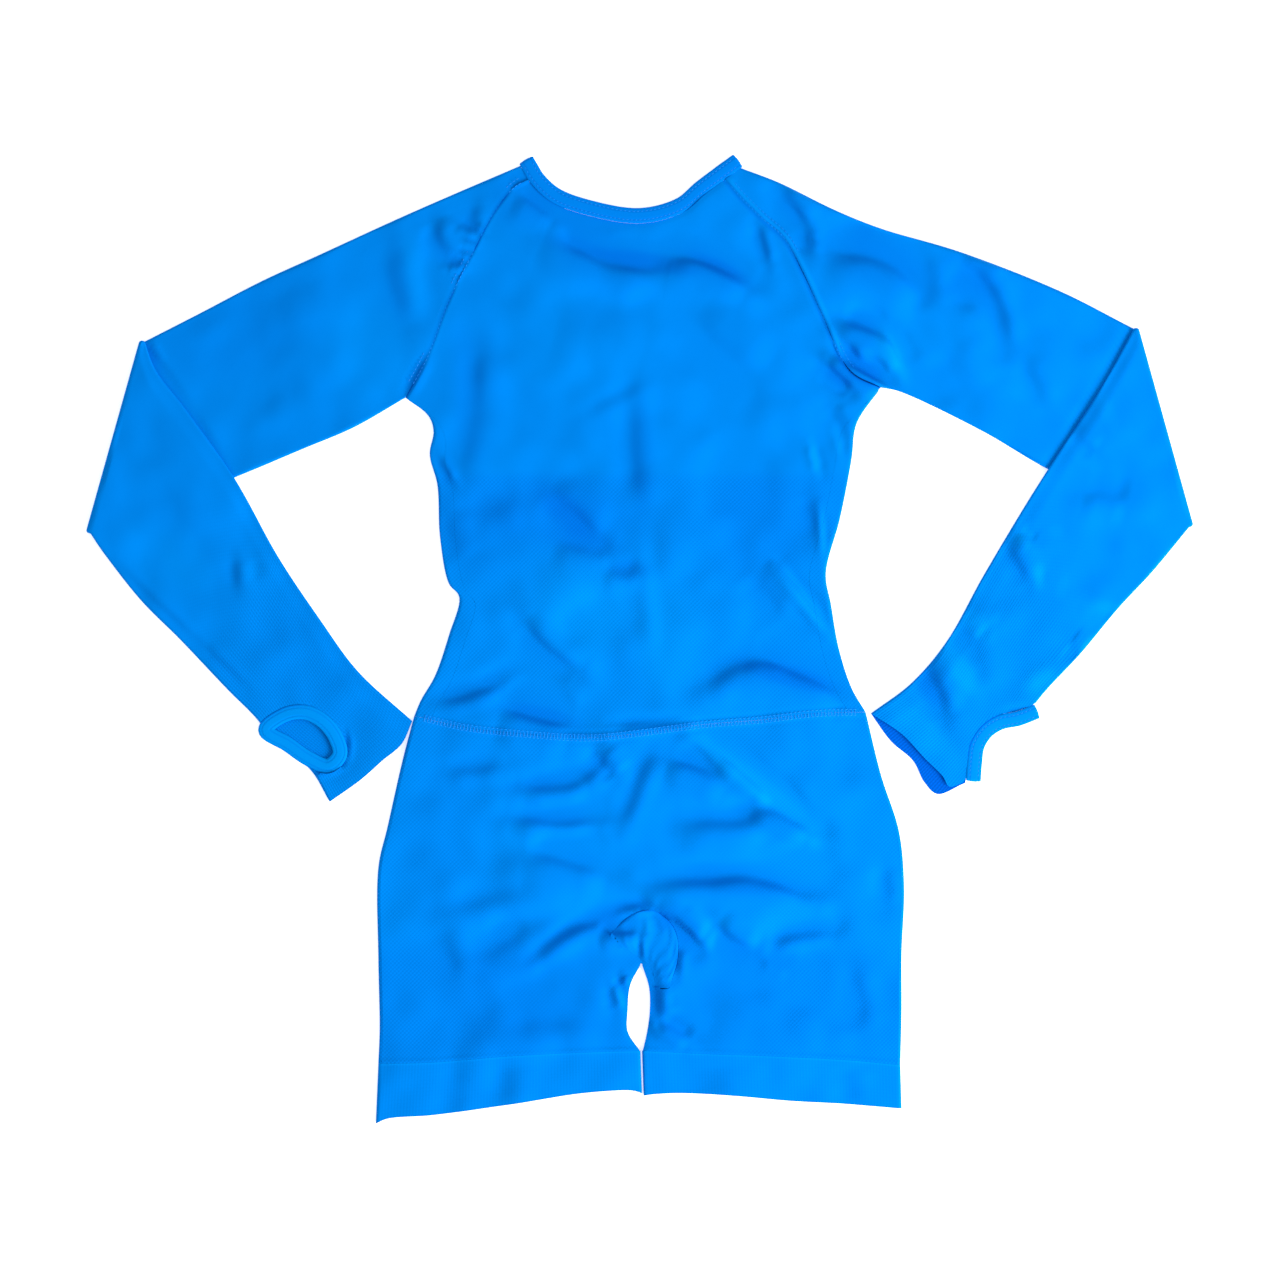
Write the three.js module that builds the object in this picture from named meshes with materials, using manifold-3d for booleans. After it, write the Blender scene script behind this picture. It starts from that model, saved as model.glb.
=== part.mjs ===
// A knitted yoga jumpsuit with long raglan sleeves and short legs, laid flat with its back up.
// Millimetres, +Z up. It lies on z = 0 with the origin under the middle of its outline.
// Every piece is a thin wall between an outer and an inner skin worked out on the same grid.
import * as THREE from 'three';
import { mergeVertices } from 'three/addons/utils/BufferGeometryUtils.js';
import Module from 'manifold-3d';

const wasm = await Module();
wasm.setup();

// Driving dimensions
const wall = 1.2;
const seamGap = 0.34;
const restHeight = 4.2;
const edgeHeight = restHeight / 2;
const upperRoll = 6;
const underRoll = 3;
const deepestTrough = 1.4;
const bandWidth = 12;
const bandCrown = 0.4;
const thumbBandWidth = 11.5;
const layerGap = 0.4;
const forearmLift = restHeight + layerGap;
const bodiceSeamInset = 13;
const shortsSeamInset = 2.5;
const legGapInset = 0.6;
const capNeckShare = 0.06;

// Grid counts
const bodiceRows = 24;
const bodiceUnderarmRow = 14;
const shortsRows = 20;
const crotchRow = 14;
const halfColumns = 12;
const underColumns = 4;
const rollSteps = 4;
const upperArmRows = 10;
const foldSteps = 4;
const forearmRows = 12;
const hemRows = 3;
const bandSteps = 20;

// Seams and edges, each a row of x, y from the wearer's left to right or from the waist upward
const waistSeam = [
  [-176, -60], [-136, -69], [-90, -74], [-39, -77], [2, -73], [47, -67], [95, -63], [137, -58], [176, -57],
];
const leftSide = [
  [-176, -60], [-171, -48], [-160, -29], [-149, 3], [-141, 33], [-149, 43], [-156, 80], [-158, 120], [-164, 144],
  [-161, 162], [-165, 174], [-183, 188],
];
const rightSide = [
  [176, -57], [165, -38], [155, -7], [149, 27], [145, 51], [156, 94], [165, 140], [169, 168], [188, 196],
];
const leftRaglan = [[-183, 188], [-166, 219], [-150, 261], [-133, 296], [-112, 335], [-98, 352]];
const rightRaglan = [[188, 196], [164, 209], [142, 253], [127, 286], [112, 313], [94, 329], [77, 346]];
const leftFrontRaglan = [[-183, 188]];
const rightFrontRaglan = [[188, 196]];
const neckLine = [[-88, 372], [-81, 360], [-66, 346], [-39, 336], [0, 330], [31, 338], [48, 352], [75, 372]];
const frontNeckLine = [[-88, 372], [-81, 360], [-67, 336], [-40, 314], [0, 305], [34, 321], [48, 346], [59, 360], [75, 372]];
// where the middle and the raglan seams meet the neck seams
const neckPoints = {
  middle: [0, 324],
  frontMiddle: [0, 299],
  left: [-87, 358],
  right: [69, 355],
  leftFront: [-77, 338],
  rightFront: [62, 338],
};
const leftOuterLeg = [[-176, -60], [-185, -94], [-197, -147], [-204, -178], [-204, -250], [-203, -304], [-204, -331]];
const rightOuterLeg = [[176, -57], [188, -106], [202, -150], [206, -193], [204, -246], [204, -290], [203, -332]];
const crotch = [1, -254];
const leftInnerLeg = [[1, -254], [-7, -270], [-9, -290], [-9, -306], [0.4, -321]];
const rightInnerLeg = [[1, -254], [6.5, -272], [7, -290], [5, -306], [1.6, -321]];
const leftWelt = [[-204, -331], [-163, -330], [-101, -325], [-38, -322], [0.4, -321]];
const rightWelt = [[203, -332], [160, -328], [102, -325], [44, -323], [1.6, -321]];
const leftHem = [[-206, -377.8], [-197, -374], [-160, -371], [-102, -363], [-44, -354], [-6, -352], [1.6, -354]];
const rightHem = [[204, -366], [154, -362], [116, -360], [73, -356], [29, -354], [10, -355], [2.8, -356]];

const leftArm = {
  side: -1,
  shoulder: [[-140, 349], [-188, 328], [-249, 300], [-295, 279], [-343, 254], [-386, 232]],
  underarm: [[-183, 188], [-223, 165], [-262, 148.5], [-317, 125.5], [-374, 104], [-428, 82]],
  inside: [[-386, 232], [-378, 211], [-354, 179], [-317, 127], [-282, 64], [-250, 16], [-220, -25], [-177.5, -64]],
  outside: [[-428, 82], [-418, 67], [-389, 30], [-358, -1], [-321, -40], [-300, -61], [-283, -82], [-257, -102], [-242, -127]],
  cuffTop: [[-177.5, -64], [-186, -82], [-201, -95], [-218, -110], [-242, -127]],
  cuffUnder: [[-177.5, -64], [-186, -82], [-201, -95], [-218, -110], [-242, -127]],
};
const rightArm = {
  side: 1,
  shoulder: [[108, 356], [153, 334], [188, 320], [249, 302], [328, 271], [384.8, 242]],
  underarm: [[188, 196], [202, 193], [267, 162], [319, 132], [374, 110], [427.8, 87]],
  inside: [[384.8, 242], [360, 197], [319, 134], [296, 97], [267, 48], [239, -2], [212, -34], [180, -58]],
  outside: [[427.8, 87], [400, 53], [373, 24], [343, -12], [315, -42], [289, -76], [265, -108]],
  cuffTop: [[180, -58], [207, -77], [227, -97], [239, -108], [252, -111], [265, -108]],
  cuffUnder: [[180, -58], [196, -80], [213, -95], [222, -112], [232, -121], [252, -113], [265, -108]],
};
const rightThumbLine = [[308, -57], [295, -62], [281, -65], [270, -72], [263, -83], [261, -96], [260, -109]];
const leftThumbLine = [
  [-292, -71], [-277, -59], [-261, -57], [-247, -64], [-237, -77], [-234, -90], [-243, -99], [-259, -93],
  [-275, -82],
];
const gussetUpper = [[-22, -229], [-10, -217], [4, -211], [17, -215], [27, -226], [30, -246], [23, -272]];
const gussetLower = [[-14, -240], [-6, -245], [0, -249], [5, -252], [9, -257], [11, -264], [12, -272]];

// Largest folds of each upper layer: the ends of the crease, its bow to the right of its run,
// its half width and its height, negative for a trough
const bodiceFolds = [
  { name: 'chest dome', from: [-60, 200], to: [70, 200], bow: 0, width: 70, height: 1.4 },
  { name: 'below the neck', from: [-72, 314], to: [30, 290], bow: 10, width: 10, height: -2.2 },
  { name: 'right of the neck', from: [25, 302], to: [105, 267], bow: 0, width: 9, height: -1.3 },
  { name: 'left blade', from: [-125, 236], to: [-145, 122], bow: -9, width: 12, height: -1.8 },
  { name: 'spine', from: [-2, 192], to: [-2, 92], bow: 0, width: 10, height: -1.9 },
  { name: 'left waist', from: [-172, -50], to: [-100, -24], bow: 8, width: 9, height: -1.5 },
  { name: 'small of the back', from: [-92, 12], to: [-46, -29], bow: 0, width: 9, height: -1.2 },
  { name: 'right waist', from: [76, -20], to: [158, -46], bow: -5, width: 9, height: -1.7 },
  { name: 'right waist roll', from: [112, 62], to: [146, 10], bow: 0, width: 8, height: 1.3 },
];
const shortsFolds = [
  { name: 'seat dome', from: [-70, -160], to: [80, -160], bow: 0, width: 70, height: 1.6 },
  { name: 'left seat', from: [-96, -116], to: [-28, -84], bow: 11, width: 9, height: -2.0 },
  { name: 'left seat lower', from: [-104, -142], to: [-30, -143], bow: 0, width: 9, height: -1.4 },
  { name: 'centre', from: [15, -80], to: [-17, -160], bow: 0, width: 9, height: -2.4 },
  { name: 'right seat', from: [23, -94], to: [88, -122], bow: 0, width: 9, height: -1.8 },
  { name: 'right ridge', from: [46, -72], to: [134, -136], bow: 0, width: 9, height: 2.0 },
  { name: 'right seat lower', from: [66, -148], to: [136, -155], bow: -13, width: 9, height: -1.7 },
  { name: 'seat wave', from: [8, -190], to: [142, -205], bow: -9, width: 9, height: -2.6 },
  { name: 'seat wave ridge', from: [22, -212], to: [134, -222], bow: -8, width: 10, height: 1.8 },
  { name: 'right thigh', from: [58, -226], to: [132, -230], bow: 13, width: 9, height: -1.8 },
  { name: 'left thigh', from: [-122, -250], to: [-54, -224], bow: -10, width: 10, height: -1.6 },
  { name: 'left arch', from: [-78, -250], to: [0, -205], bow: -6, width: 8, height: -2.4 },
  { name: 'right arch', from: [0, -205], to: [46, -233], bow: -5, width: 8, height: -2.4 },
];
const leftUpperFolds = [
  { name: 'shoulder', from: [-186, 306], to: [-178, 246], bow: 0, width: 12, height: -1.0 },
];
const leftForearmFolds = [
  { name: 'wrist', from: [-320, 70], to: [-306, 36], bow: 0, width: 9, height: -1.0 },
];
const rightUpperFolds = [
  { name: 'shoulder arc', from: [178, 298], to: [234, 254], bow: -10, width: 9, height: -1.5 },
  { name: 'mid arm', from: [260, 297], to: [288, 225], bow: -3, width: 9, height: -1.5 },
  { name: 'armpit ridge', from: [188, 242], to: [214, 203], bow: 0, width: 9, height: 1.6 },
];
const rightForearmFolds = [
  { name: 'inside', from: [283, 80], to: [306, 42], bow: 0, width: 9, height: -1.5 },
  { name: 'cuff trough', from: [212, -30], to: [244, -60], bow: 0, width: 11, height: -1.8 },
];

const materials = {
  knit: { color: 0x008bf5, roughness: 0.82, metalness: 0 },
  welt: { color: 0x0088f2, roughness: 0.85, metalness: 0 },
  binding: { color: 0x0090fa, roughness: 0.8, metalness: 0 },
};

// Curves and patches

const mix = THREE.MathUtils.lerp;
const flatPoint = ([x, y]) => new THREE.Vector3(x, y, 0);

function through(rows, closed = false) {
  const curve = new THREE.CatmullRomCurve3(rows.map(flatPoint), closed, 'centripetal');
  return (t) => curve.getPointAt(THREE.MathUtils.clamp(t, 0, 1));
}

const span = (curve, start, end) => (t) => curve(mix(start, end, t));

const chain = (share, first, second) => (t) =>
  t < share ? first(t / share) : second((t - share) / (1 - share));

function tangentAt(curve, t) {
  const step = 0.002;
  return curve(Math.min(t + step, 1)).sub(curve(Math.max(t - step, 0))).normalize();
}

// The curve moved to the right of its own direction
function beside(curve, distance) {
  return (t) => {
    const along = tangentAt(curve, t);
    return curve(t).add(new THREE.Vector3(along.y, -along.x, 0).multiplyScalar(distance));
  };
}

function nearestShare(curve, [x, y]) {
  const target = new THREE.Vector3(x, y, 0);
  const samples = 400;
  let best = 0;
  for (let k = 1; k <= samples; k += 1) {
    if (curve(k / samples).distanceTo(target) < curve(best).distanceTo(target)) best = k / samples;
  }
  return best;
}

// Coons patch: near and far run across, first and last run along
function patch(near, far, first, last) {
  const corners = [near(0), near(1), far(0), far(1)];
  return (across, along) => {
    const point = near(across).multiplyScalar(1 - along);
    point.addScaledVector(far(across), along);
    point.addScaledVector(first(along), 1 - across);
    point.addScaledVector(last(along), across);
    point.addScaledVector(corners[0], -(1 - across) * (1 - along));
    point.addScaledVector(corners[1], -across * (1 - along));
    point.addScaledVector(corners[2], -(1 - across) * along);
    point.addScaledVector(corners[3], -across * along);
    return point;
  };
}

const counted = (count) => Array.from({ length: count + 1 }, (_, k) => k / count);

// Height of the folds at a place: each is a bell across its line that fades at both ends
function relief(folds, { x, y }) {
  let height = 0;
  for (const { from, to, bow, width, height: full } of folds) {
    const run = [to[0] - from[0], to[1] - from[1]];
    const length = Math.hypot(...run);
    const along = ((x - from[0]) * run[0] + (y - from[1]) * run[1]) / (length * length);
    const share = THREE.MathUtils.clamp(along, 0, 1);
    const right = ((x - from[0]) * run[1] - (y - from[1]) * run[0]) / length;
    const off = right - bow * 4 * share * (1 - share);
    const past = (along - share) * length;
    const fade = 0.25 + 0.75 * Math.sin(Math.PI * share);
    height += full * fade * Math.exp(-(off * off + past * past) / (width * width));
  }
  return height < 0 ? -deepestTrough * Math.tanh(-height / deepestTrough) : height;
}

// Solids

function closedGeometry(faces, points) {
  let volume = 0;
  for (const [a, b, c] of faces) volume += points[a].dot(points[b].clone().cross(points[c]));
  const turned = volume < 0 ? faces.map(([a, b, c]) => [a, c, b]) : faces;
  const positions = turned.flat().flatMap((k) => points[k].toArray());
  const geometry = new THREE.BufferGeometry();
  geometry.setAttribute('position', new THREE.Float32BufferAttribute(positions, 3));
  return mergeVertices(geometry, 1e-5);
}

// A wall between two skins on one grid, closed by a rim along every open edge.
// A ring joins its last column to its first, and covers says which cells are cloth.
function clothWall(outer, inner, { ring = false, covers = () => true } = {}) {
  const across = outer[0].length;
  const points = [...outer.flat(), ...inner.flat()];
  const innerStart = outer.length * across;
  const cells = ring ? across : across - 1;
  const at = (row, column) => row * across + (column % across);
  const faces = [];
  const openEdges = new Map();
  for (let row = 0; row < outer.length - 1; row += 1) {
    for (let column = 0; column < cells; column += 1) {
      if (!covers(row, column)) continue;
      const ringOfCell = [at(row, column), at(row, column + 1), at(row + 1, column + 1), at(row + 1, column)];
      const [a, b, c, d] = ringOfCell;
      faces.push([a, b, c], [a, c, d]);
      faces.push([c, b, a].map((k) => k + innerStart), [d, c, a].map((k) => k + innerStart));
      ringOfCell.forEach((from, k) => {
        const to = ringOfCell[(k + 1) % 4];
        const key = `${Math.min(from, to)}_${Math.max(from, to)}`;
        if (openEdges.has(key)) openEdges.delete(key);
        else openEdges.set(key, [from, to]);
      });
    }
  }
  for (const [from, to] of openEdges.values()) {
    faces.push([to, from, from + innerStart], [to, from + innerStart, to + innerStart]);
  }
  return closedGeometry(faces, points);
}

function solidOf(geometry) {
  return new wasm.Manifold(new wasm.Mesh({
    numProp: 3,
    vertProperties: new Float32Array(geometry.attributes.position.array),
    triVerts: new Uint32Array(geometry.index.array),
  }));
}

function geometryOf(solid) {
  const mesh = solid.getMesh();
  const geometry = new THREE.BufferGeometry();
  geometry.setAttribute('position', new THREE.Float32BufferAttribute(mesh.vertProperties, 3));
  geometry.setIndex(new THREE.Uint32BufferAttribute(mesh.triVerts, 1));
  return geometry;
}

// An upright block over a closed outline, which cuts a piece to its neighbour
function uprightBlock(outline, bottom, top) {
  const shape = new THREE.Shape(outline.map(({ x, y }) => new THREE.Vector2(x, y)));
  const block = new THREE.ExtrudeGeometry(shape, { depth: top - bottom, bevelEnabled: false });
  block.translate(0, 0, bottom);
  block.deleteAttribute('normal');
  block.deleteAttribute('uv');
  return mergeVertices(block, 1e-5);
}

// Cut to a neighbour, keeping the largest body and dropping crumbs
function cutBy(geometry, block) {
  const bodies = solidOf(geometry).subtract(solidOf(block)).decompose();
  bodies.sort((a, b) => b.volume() - a.volume());
  return geometryOf(bodies[0]);
}

// Cross-section of a flattened tube at its side: outer and inner skins at an angle round the edge,
// 90 degrees on top and -90 below, as the distance in from the edge and the height
function rollAt(angle, top, edge) {
  const radius = angle >= 0 ? upperRoll : underRoll;
  const innerEdge = Math.min(wall, radius);
  const reach = angle >= 0 ? top - edge : edge;
  const turn = Math.sin(angle);
  return {
    outerInset: radius * (1 - Math.cos(angle)),
    outerHeight: edge + reach * turn,
    innerInset: radius - (radius - innerEdge) * Math.cos(angle),
    innerHeight: edge + (reach - wall) * turn,
  };
}

// The same for the upper layer by its distance in from the edge
function upperLayerAt(inset, top, edge) {
  if (inset < upperRoll) return rollAt(Math.acos(1 - inset / upperRoll), top, edge);
  return { outerInset: inset, outerHeight: top, innerInset: inset, innerHeight: top - wall };
}

// Body panels. A half runs from its side edge (0) to the middle (1) and from near to far.

function placed(patchOf, inset, width, along, height) {
  const point = patchOf(inset / width, along);
  point.z = height;
  return point;
}

function widthAt(patchOf, along) {
  return patchOf(0, along).distanceTo(patchOf(1, along));
}

// One row of the upper panel of a half, from its seam to the middle
function upperRow(half, along, panel) {
  const width = widthAt(half.top, along);
  const start = panel.seamInset(along) + seamGap / 2;
  const edge = panel.edge(along);
  const row = counted(halfColumns).map((share) => {
    const inset = mix(start, width - panel.middleInset, share);
    const spot = half.top(inset / width, along);
    let top = restHeight + relief(panel.folds, spot);
    if (panel.sinks) top = mix(top, wall + layerGap + wall, panel.sinks(width - inset, along));
    return upperLayerAt(inset, top, edge);
  });
  return {
    outer: row.map((s) => placed(half.top, s.outerInset, width, along, s.outerHeight)),
    inner: row.map((s) => placed(half.top, s.innerInset, width, along, s.innerHeight)),
  };
}

// One row of the under panel of a half, from its seam on top, round the side and in to the middle
function underRow(half, along, panel) {
  const width = widthAt(half.top, along);
  const underWidth = widthAt(half.under, along);
  const seam = panel.seamInset(along) - seamGap / 2;
  const edge = panel.edge(along);
  const top = restHeight;
  const startAngle = seam < upperRoll ? Math.acos(1 - Math.max(seam, 0.02) / upperRoll) : Math.PI / 2;
  const section = counted(rollSteps).map((share) => rollAt(mix(startAngle, -Math.PI / 2, share), top, edge));
  section.unshift(upperLayerAt(Math.max(seam, upperRoll + 0.5), top, edge));
  const wrapped = panel.wraps(along);
  const outer = section.map((s) => placed(half.top, s.outerInset, width, along, s.outerHeight));
  const inner = section.map((s) => placed(half.top, s.innerInset, width, along, s.innerHeight));
  const first = wrapped ? underRoll : seamGap / 2;
  if (!wrapped) {
    outer[outer.length - 1] = placed(half.under, first, underWidth, along, 0);
    inner[inner.length - 1] = placed(half.under, first, underWidth, along, wall);
  }
  counted(underColumns).slice(1).forEach((share) => {
    const inset = mix(first, underWidth - panel.middleInset, share);
    outer.push(placed(half.under, inset, underWidth, along, 0));
    inner.push(placed(half.under, inset, underWidth, along, wall));
  });
  return { outer, inner };
}

function joinRows(left, right) {
  return {
    outer: [...left.outer, ...right.outer.toReversed()],
    inner: [...left.inner, ...right.inner.toReversed()],
  };
}

function panelWall(panel, makeRow, covers) {
  const rows = counted(panel.rows).map((share) => {
    const along = mix(panel.margin, 1 - panel.margin, share);
    return joinRows(makeRow(panel.left, along, panel), makeRow(panel.right, along, panel));
  });
  return clothWall(rows.map((row) => row.outer), rows.map((row) => row.inner), { covers });
}

const upperPanel = (panel) =>
  panelWall(panel, upperRow, (row, column) => column !== halfColumns || panel.middleJoined(row));

function underPanel(panel) {
  const middle = 1 + rollSteps + underColumns;
  return panelWall(panel, underRow, (row, column) => {
    if (column === middle) return panel.middleJoined(row);
    const fromSeam = Math.min(column, 2 * middle - column);
    if (fromSeam === 0) return panel.stripShows(row);
    return fromSeam > rollSteps || panel.wrapsRow(row);
  });
}

// Seam curves
const waist = through(waistSeam);
const neckCurve = through(neckLine);
const frontNeckCurve = through(frontNeckLine);
const neckSeam = beside(neckCurve, bandWidth / 2);
const frontNeckSeam = beside(frontNeckCurve, bandWidth / 2);

const waistMiddle = waist(0.5);
const neckMiddle = nearestShare(neckSeam, neckPoints.middle);
const frontNeckMiddle = nearestShare(frontNeckSeam, neckPoints.frontMiddle);

// Each raglan seam runs from the underarm to the neck seam
function raglanTo(rows, seam, share) {
  const end = seam(share);
  return through([...rows, [end.x, end.y]]);
}
const neckShare = {
  left: nearestShare(neckSeam, neckPoints.left),
  right: nearestShare(neckSeam, neckPoints.right),
  leftFront: nearestShare(frontNeckSeam, neckPoints.leftFront),
  rightFront: nearestShare(frontNeckSeam, neckPoints.rightFront),
};
const raglan = {
  left: raglanTo(leftRaglan, neckSeam, neckShare.left),
  right: raglanTo(rightRaglan, neckSeam, neckShare.right),
  leftFront: raglanTo(leftFrontRaglan, frontNeckSeam, neckShare.leftFront),
  rightFront: raglanTo(rightFrontRaglan, frontNeckSeam, neckShare.rightFront),
};

// Bodice
const underarmShare = bodiceUnderarmRow / bodiceRows;

function bodiceHalf(side, waistEnd, sideRows) {
  const sideCurve = through(sideRows);
  const half = (raglanCurve, seam, raglanEnd, middleEnd) => {
    const far = span(seam, raglanEnd, middleEnd);
    const middle = (t) => waistMiddle.clone().lerp(seam(middleEnd), t);
    return patch(span(waist, waistEnd, 0.5), far, chain(underarmShare, sideCurve, raglanCurve), middle);
  };
  return {
    top: half(raglan[side], neckSeam, neckShare[side], neckMiddle),
    under: half(raglan[`${side}Front`], frontNeckSeam, neckShare[`${side}Front`], frontNeckMiddle),
  };
}

const bodice = {
  left: bodiceHalf('left', 0, leftSide),
  right: bodiceHalf('right', 1, rightSide),
  rows: bodiceRows,
  margin: seamGap / 2 / 300,
  folds: bodiceFolds,
  middleInset: 0.5,
  middleJoined: () => true,
  seamInset: (along) =>
    along < underarmShare
      ? bodiceSeamInset * THREE.MathUtils.smoothstep(underarmShare - along, -0.01, 0.12) + 0.3
      : 0,
  edge: (along) =>
    mix(edgeHeight, restHeight, THREE.MathUtils.smoothstep(along, underarmShare, underarmShare + 0.06)),
  wraps: (along) => along <= underarmShare + 0.001,
  wrapsRow: (row) => row < bodiceUnderarmRow,
  stripShows: (row) => row < bodiceUnderarmRow - 2,
};

// Shorts
const crotchShare = crotchRow / shortsRows;

function shortsHalf(waistEnd, outerRows, innerRows, weltRows) {
  const centre = (t) => waistMiddle.clone().lerp(flatPoint(crotch), t);
  const middle = chain(crotchShare, centre, through(innerRows));
  const both = patch(span(waist, waistEnd, 0.5), through(weltRows), through(outerRows), middle);
  return { top: both, under: both };
}

const shorts = {
  left: shortsHalf(0, leftOuterLeg, leftInnerLeg, leftWelt),
  right: shortsHalf(1, rightOuterLeg, rightInnerLeg, rightWelt),
  rows: shortsRows,
  margin: seamGap / 2 / 260,
  folds: shortsFolds,
  middleInset: legGapInset,
  middleJoined: (row) => row < crotchRow,
  seamInset: () => shortsSeamInset,
  edge: () => edgeHeight,
  wraps: () => true,
  wrapsRow: () => true,
  stripShows: () => false,
  // towards the edge of the leg gap the upper layer comes down on to the lower one
  sinks: (fromMiddle, along) => {
    const open = THREE.MathUtils.smoothstep(along, crotchShare - 0.04, crotchShare + 0.04);
    const shareIn = THREE.MathUtils.clamp(fromMiddle / upperRoll / 2, 0, 1);
    return open * (1 - Math.sqrt(1 - (1 - shareIn) ** 2));
  },
};

// Flattened tubes. A ring of columns goes over the top, round one side, back below and round the other.

function tubeColumns(topShares, underShares) {
  const turn = counted(rollSteps).slice(1, -1);
  return [
    ...topShares.map((share) => ({ layer: 'top', share })),
    ...turn.map((share) => ({ layer: 'roll', end: 1, angle: mix(Math.PI / 2, -Math.PI / 2, share) })),
    ...underShares.toReversed().map((share) => ({ layer: 'under', share })),
    ...turn.map((share) => ({ layer: 'roll', end: 0, angle: mix(-Math.PI / 2, Math.PI / 2, share) })),
  ];
}

// Where a column of the ring stands on a row: the share across and the height of both skins
function tubeSection({ layer, share, end, angle }, width, top) {
  if (layer === 'top') {
    const across = THREE.MathUtils.clamp(share, upperRoll / width, 1 - upperRoll / width);
    return { outer: [across, top], inner: [across, top - wall] };
  }
  if (layer === 'under') {
    const across = THREE.MathUtils.clamp(share, underRoll / width, 1 - underRoll / width);
    return { outer: [across, 0], inner: [across, wall] };
  }
  const s = rollAt(angle, top, edgeHeight);
  const from = (inset) => (end ? 1 - inset / width : inset / width);
  return { outer: [from(s.outerInset), s.outerHeight], inner: [from(s.innerInset), s.innerHeight] };
}

function leansOnTop({ layer, angle }) {
  return layer === 'top' || (layer === 'roll' && angle >= 0);
}

// Sleeves
function sleeve(arm, upperFolds, forearmFolds) {
  const side = arm.side < 0 ? 'left' : 'right';
  const neckEnd = arm.side < 0 ? 0 : 1;
  const cap = (seam, share, seamCurve) =>
    chain(capNeckShare, span(seam, neckEnd, share), span(seamCurve, 1, 0));
  const capTop = cap(neckSeam, neckShare[side], raglan[side]);
  const capUnder = cap(frontNeckSeam, neckShare[`${side}Front`], raglan[`${side}Front`]);
  const shoulderFrom = ({ x, y }) => through([[x, y], ...arm.shoulder]);
  const underarm = through(arm.underarm);
  const elbow = through([arm.shoulder.at(-1), arm.underarm.at(-1)]);
  const upperTop = patch(capTop, elbow, shoulderFrom(capTop(0)), underarm);
  const upperUnder = patch(capUnder, elbow, shoulderFrom(capUnder(0)), underarm);
  const inside = through(arm.inside);
  const outside = through(arm.outside);
  // after the fold the under layer of the upper arm is the one that shows
  const foreShown = patch(elbow, through(arm.cuffTop), inside, outside);
  const foreHidden = patch(elbow, through(arm.cuffUnder), inside, outside);

  const elbowTangent = tangentAt(elbow, 0.5);
  const outward = new THREE.Vector3(elbowTangent.y, -elbowTangent.x, 0);
  if (outward.x * arm.side < 0) outward.negate();

  // how far a place is past the lower edge of the upper arm, where the forearm comes down
  const armEdge = [flatPoint(arm.underarm.at(-3)), flatPoint(arm.underarm.at(-1))];
  const edgeRun = armEdge[1].clone().sub(armEdge[0]).normalize();
  const pastEdge = (p) => arm.side * ((p.x - armEdge[0].x) * edgeRun.y - (p.y - armEdge[0].y) * edgeRun.x);
  const lift = (p) => forearmLift * (1 - THREE.MathUtils.smoothstep(pastEdge(p), -2, 18));

  // folds of the upper arm fade out before the forearm covers it
  const foreEdge = [flatPoint(arm.inside[0]), flatPoint(arm.inside[3])];
  const foreRun = foreEdge[1].clone().sub(foreEdge[0]).normalize();
  const clearOf = (p) => -arm.side * ((p.x - foreEdge[0].x) * foreRun.y - (p.y - foreEdge[0].y) * foreRun.x);
  const uncovered = (p) => THREE.MathUtils.smoothstep(clearOf(p), 2, 20);

  const raglanRows = bodiceRows - bodiceUnderarmRow;
  const alongCap = counted(raglanRows).map((share) => mix(capNeckShare, 1, share));
  const columns = tubeColumns([0, ...alongCap], [0, capNeckShare, 0.2, 0.34, 0.48, 0.62, 0.76, 0.88, 1]);
  const upperArmPoint = (column, along, skin) => {
    const surface = leansOnTop(column) ? upperTop : upperUnder;
    const width = widthAt(upperTop, along);
    const spot = surface(tubeSection(column, width, restHeight).outer[0], along);
    const shows = column.layer === 'top' ? relief(upperFolds, spot) * uncovered(spot) : 0;
    const [across, height] = tubeSection(column, width, restHeight + shows)[skin];
    const point = surface(across, along);
    point.z = height;
    return point;
  };
  const foldPoint = (column, angle, skin) => {
    const [across, height] = tubeSection(column, widthAt(upperTop, 1), restHeight)[skin];
    const point = elbow(across);
    const centre = (lift(point) + restHeight) / 2;
    const radius = centre - height;
    point.addScaledVector(outward, radius * Math.sin(angle));
    point.z = centre - radius * Math.cos(angle);
    return point;
  };
  const forearmPoint = (column, along, skin) => {
    const surface = leansOnTop(column) ? foreHidden : foreShown;
    const [across, height] = tubeSection(column, widthAt(foreShown, along), restHeight)[skin];
    const point = surface(across, along);
    const shows = column.layer === 'under' ? relief(forearmFolds, point) : 0;
    point.z = lift(point) + restHeight - height + shows;
    return point;
  };
  const capMargin = seamGap / 2 / 230;
  const skinRows = (skin) => [
    ...counted(upperArmRows).map((share) =>
      columns.map((column) => upperArmPoint(column, mix(capMargin, 1, share), skin))),
    ...counted(foldSteps).slice(1, -1).map((share) =>
      columns.map((column) => foldPoint(column, share * Math.PI, skin))),
    ...counted(forearmRows).map((share) => columns.map((column) => forearmPoint(column, share, skin))),
  ];
  return clothWall(skinRows('outer'), skinRows('inner'), { ring: true });
}

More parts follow.
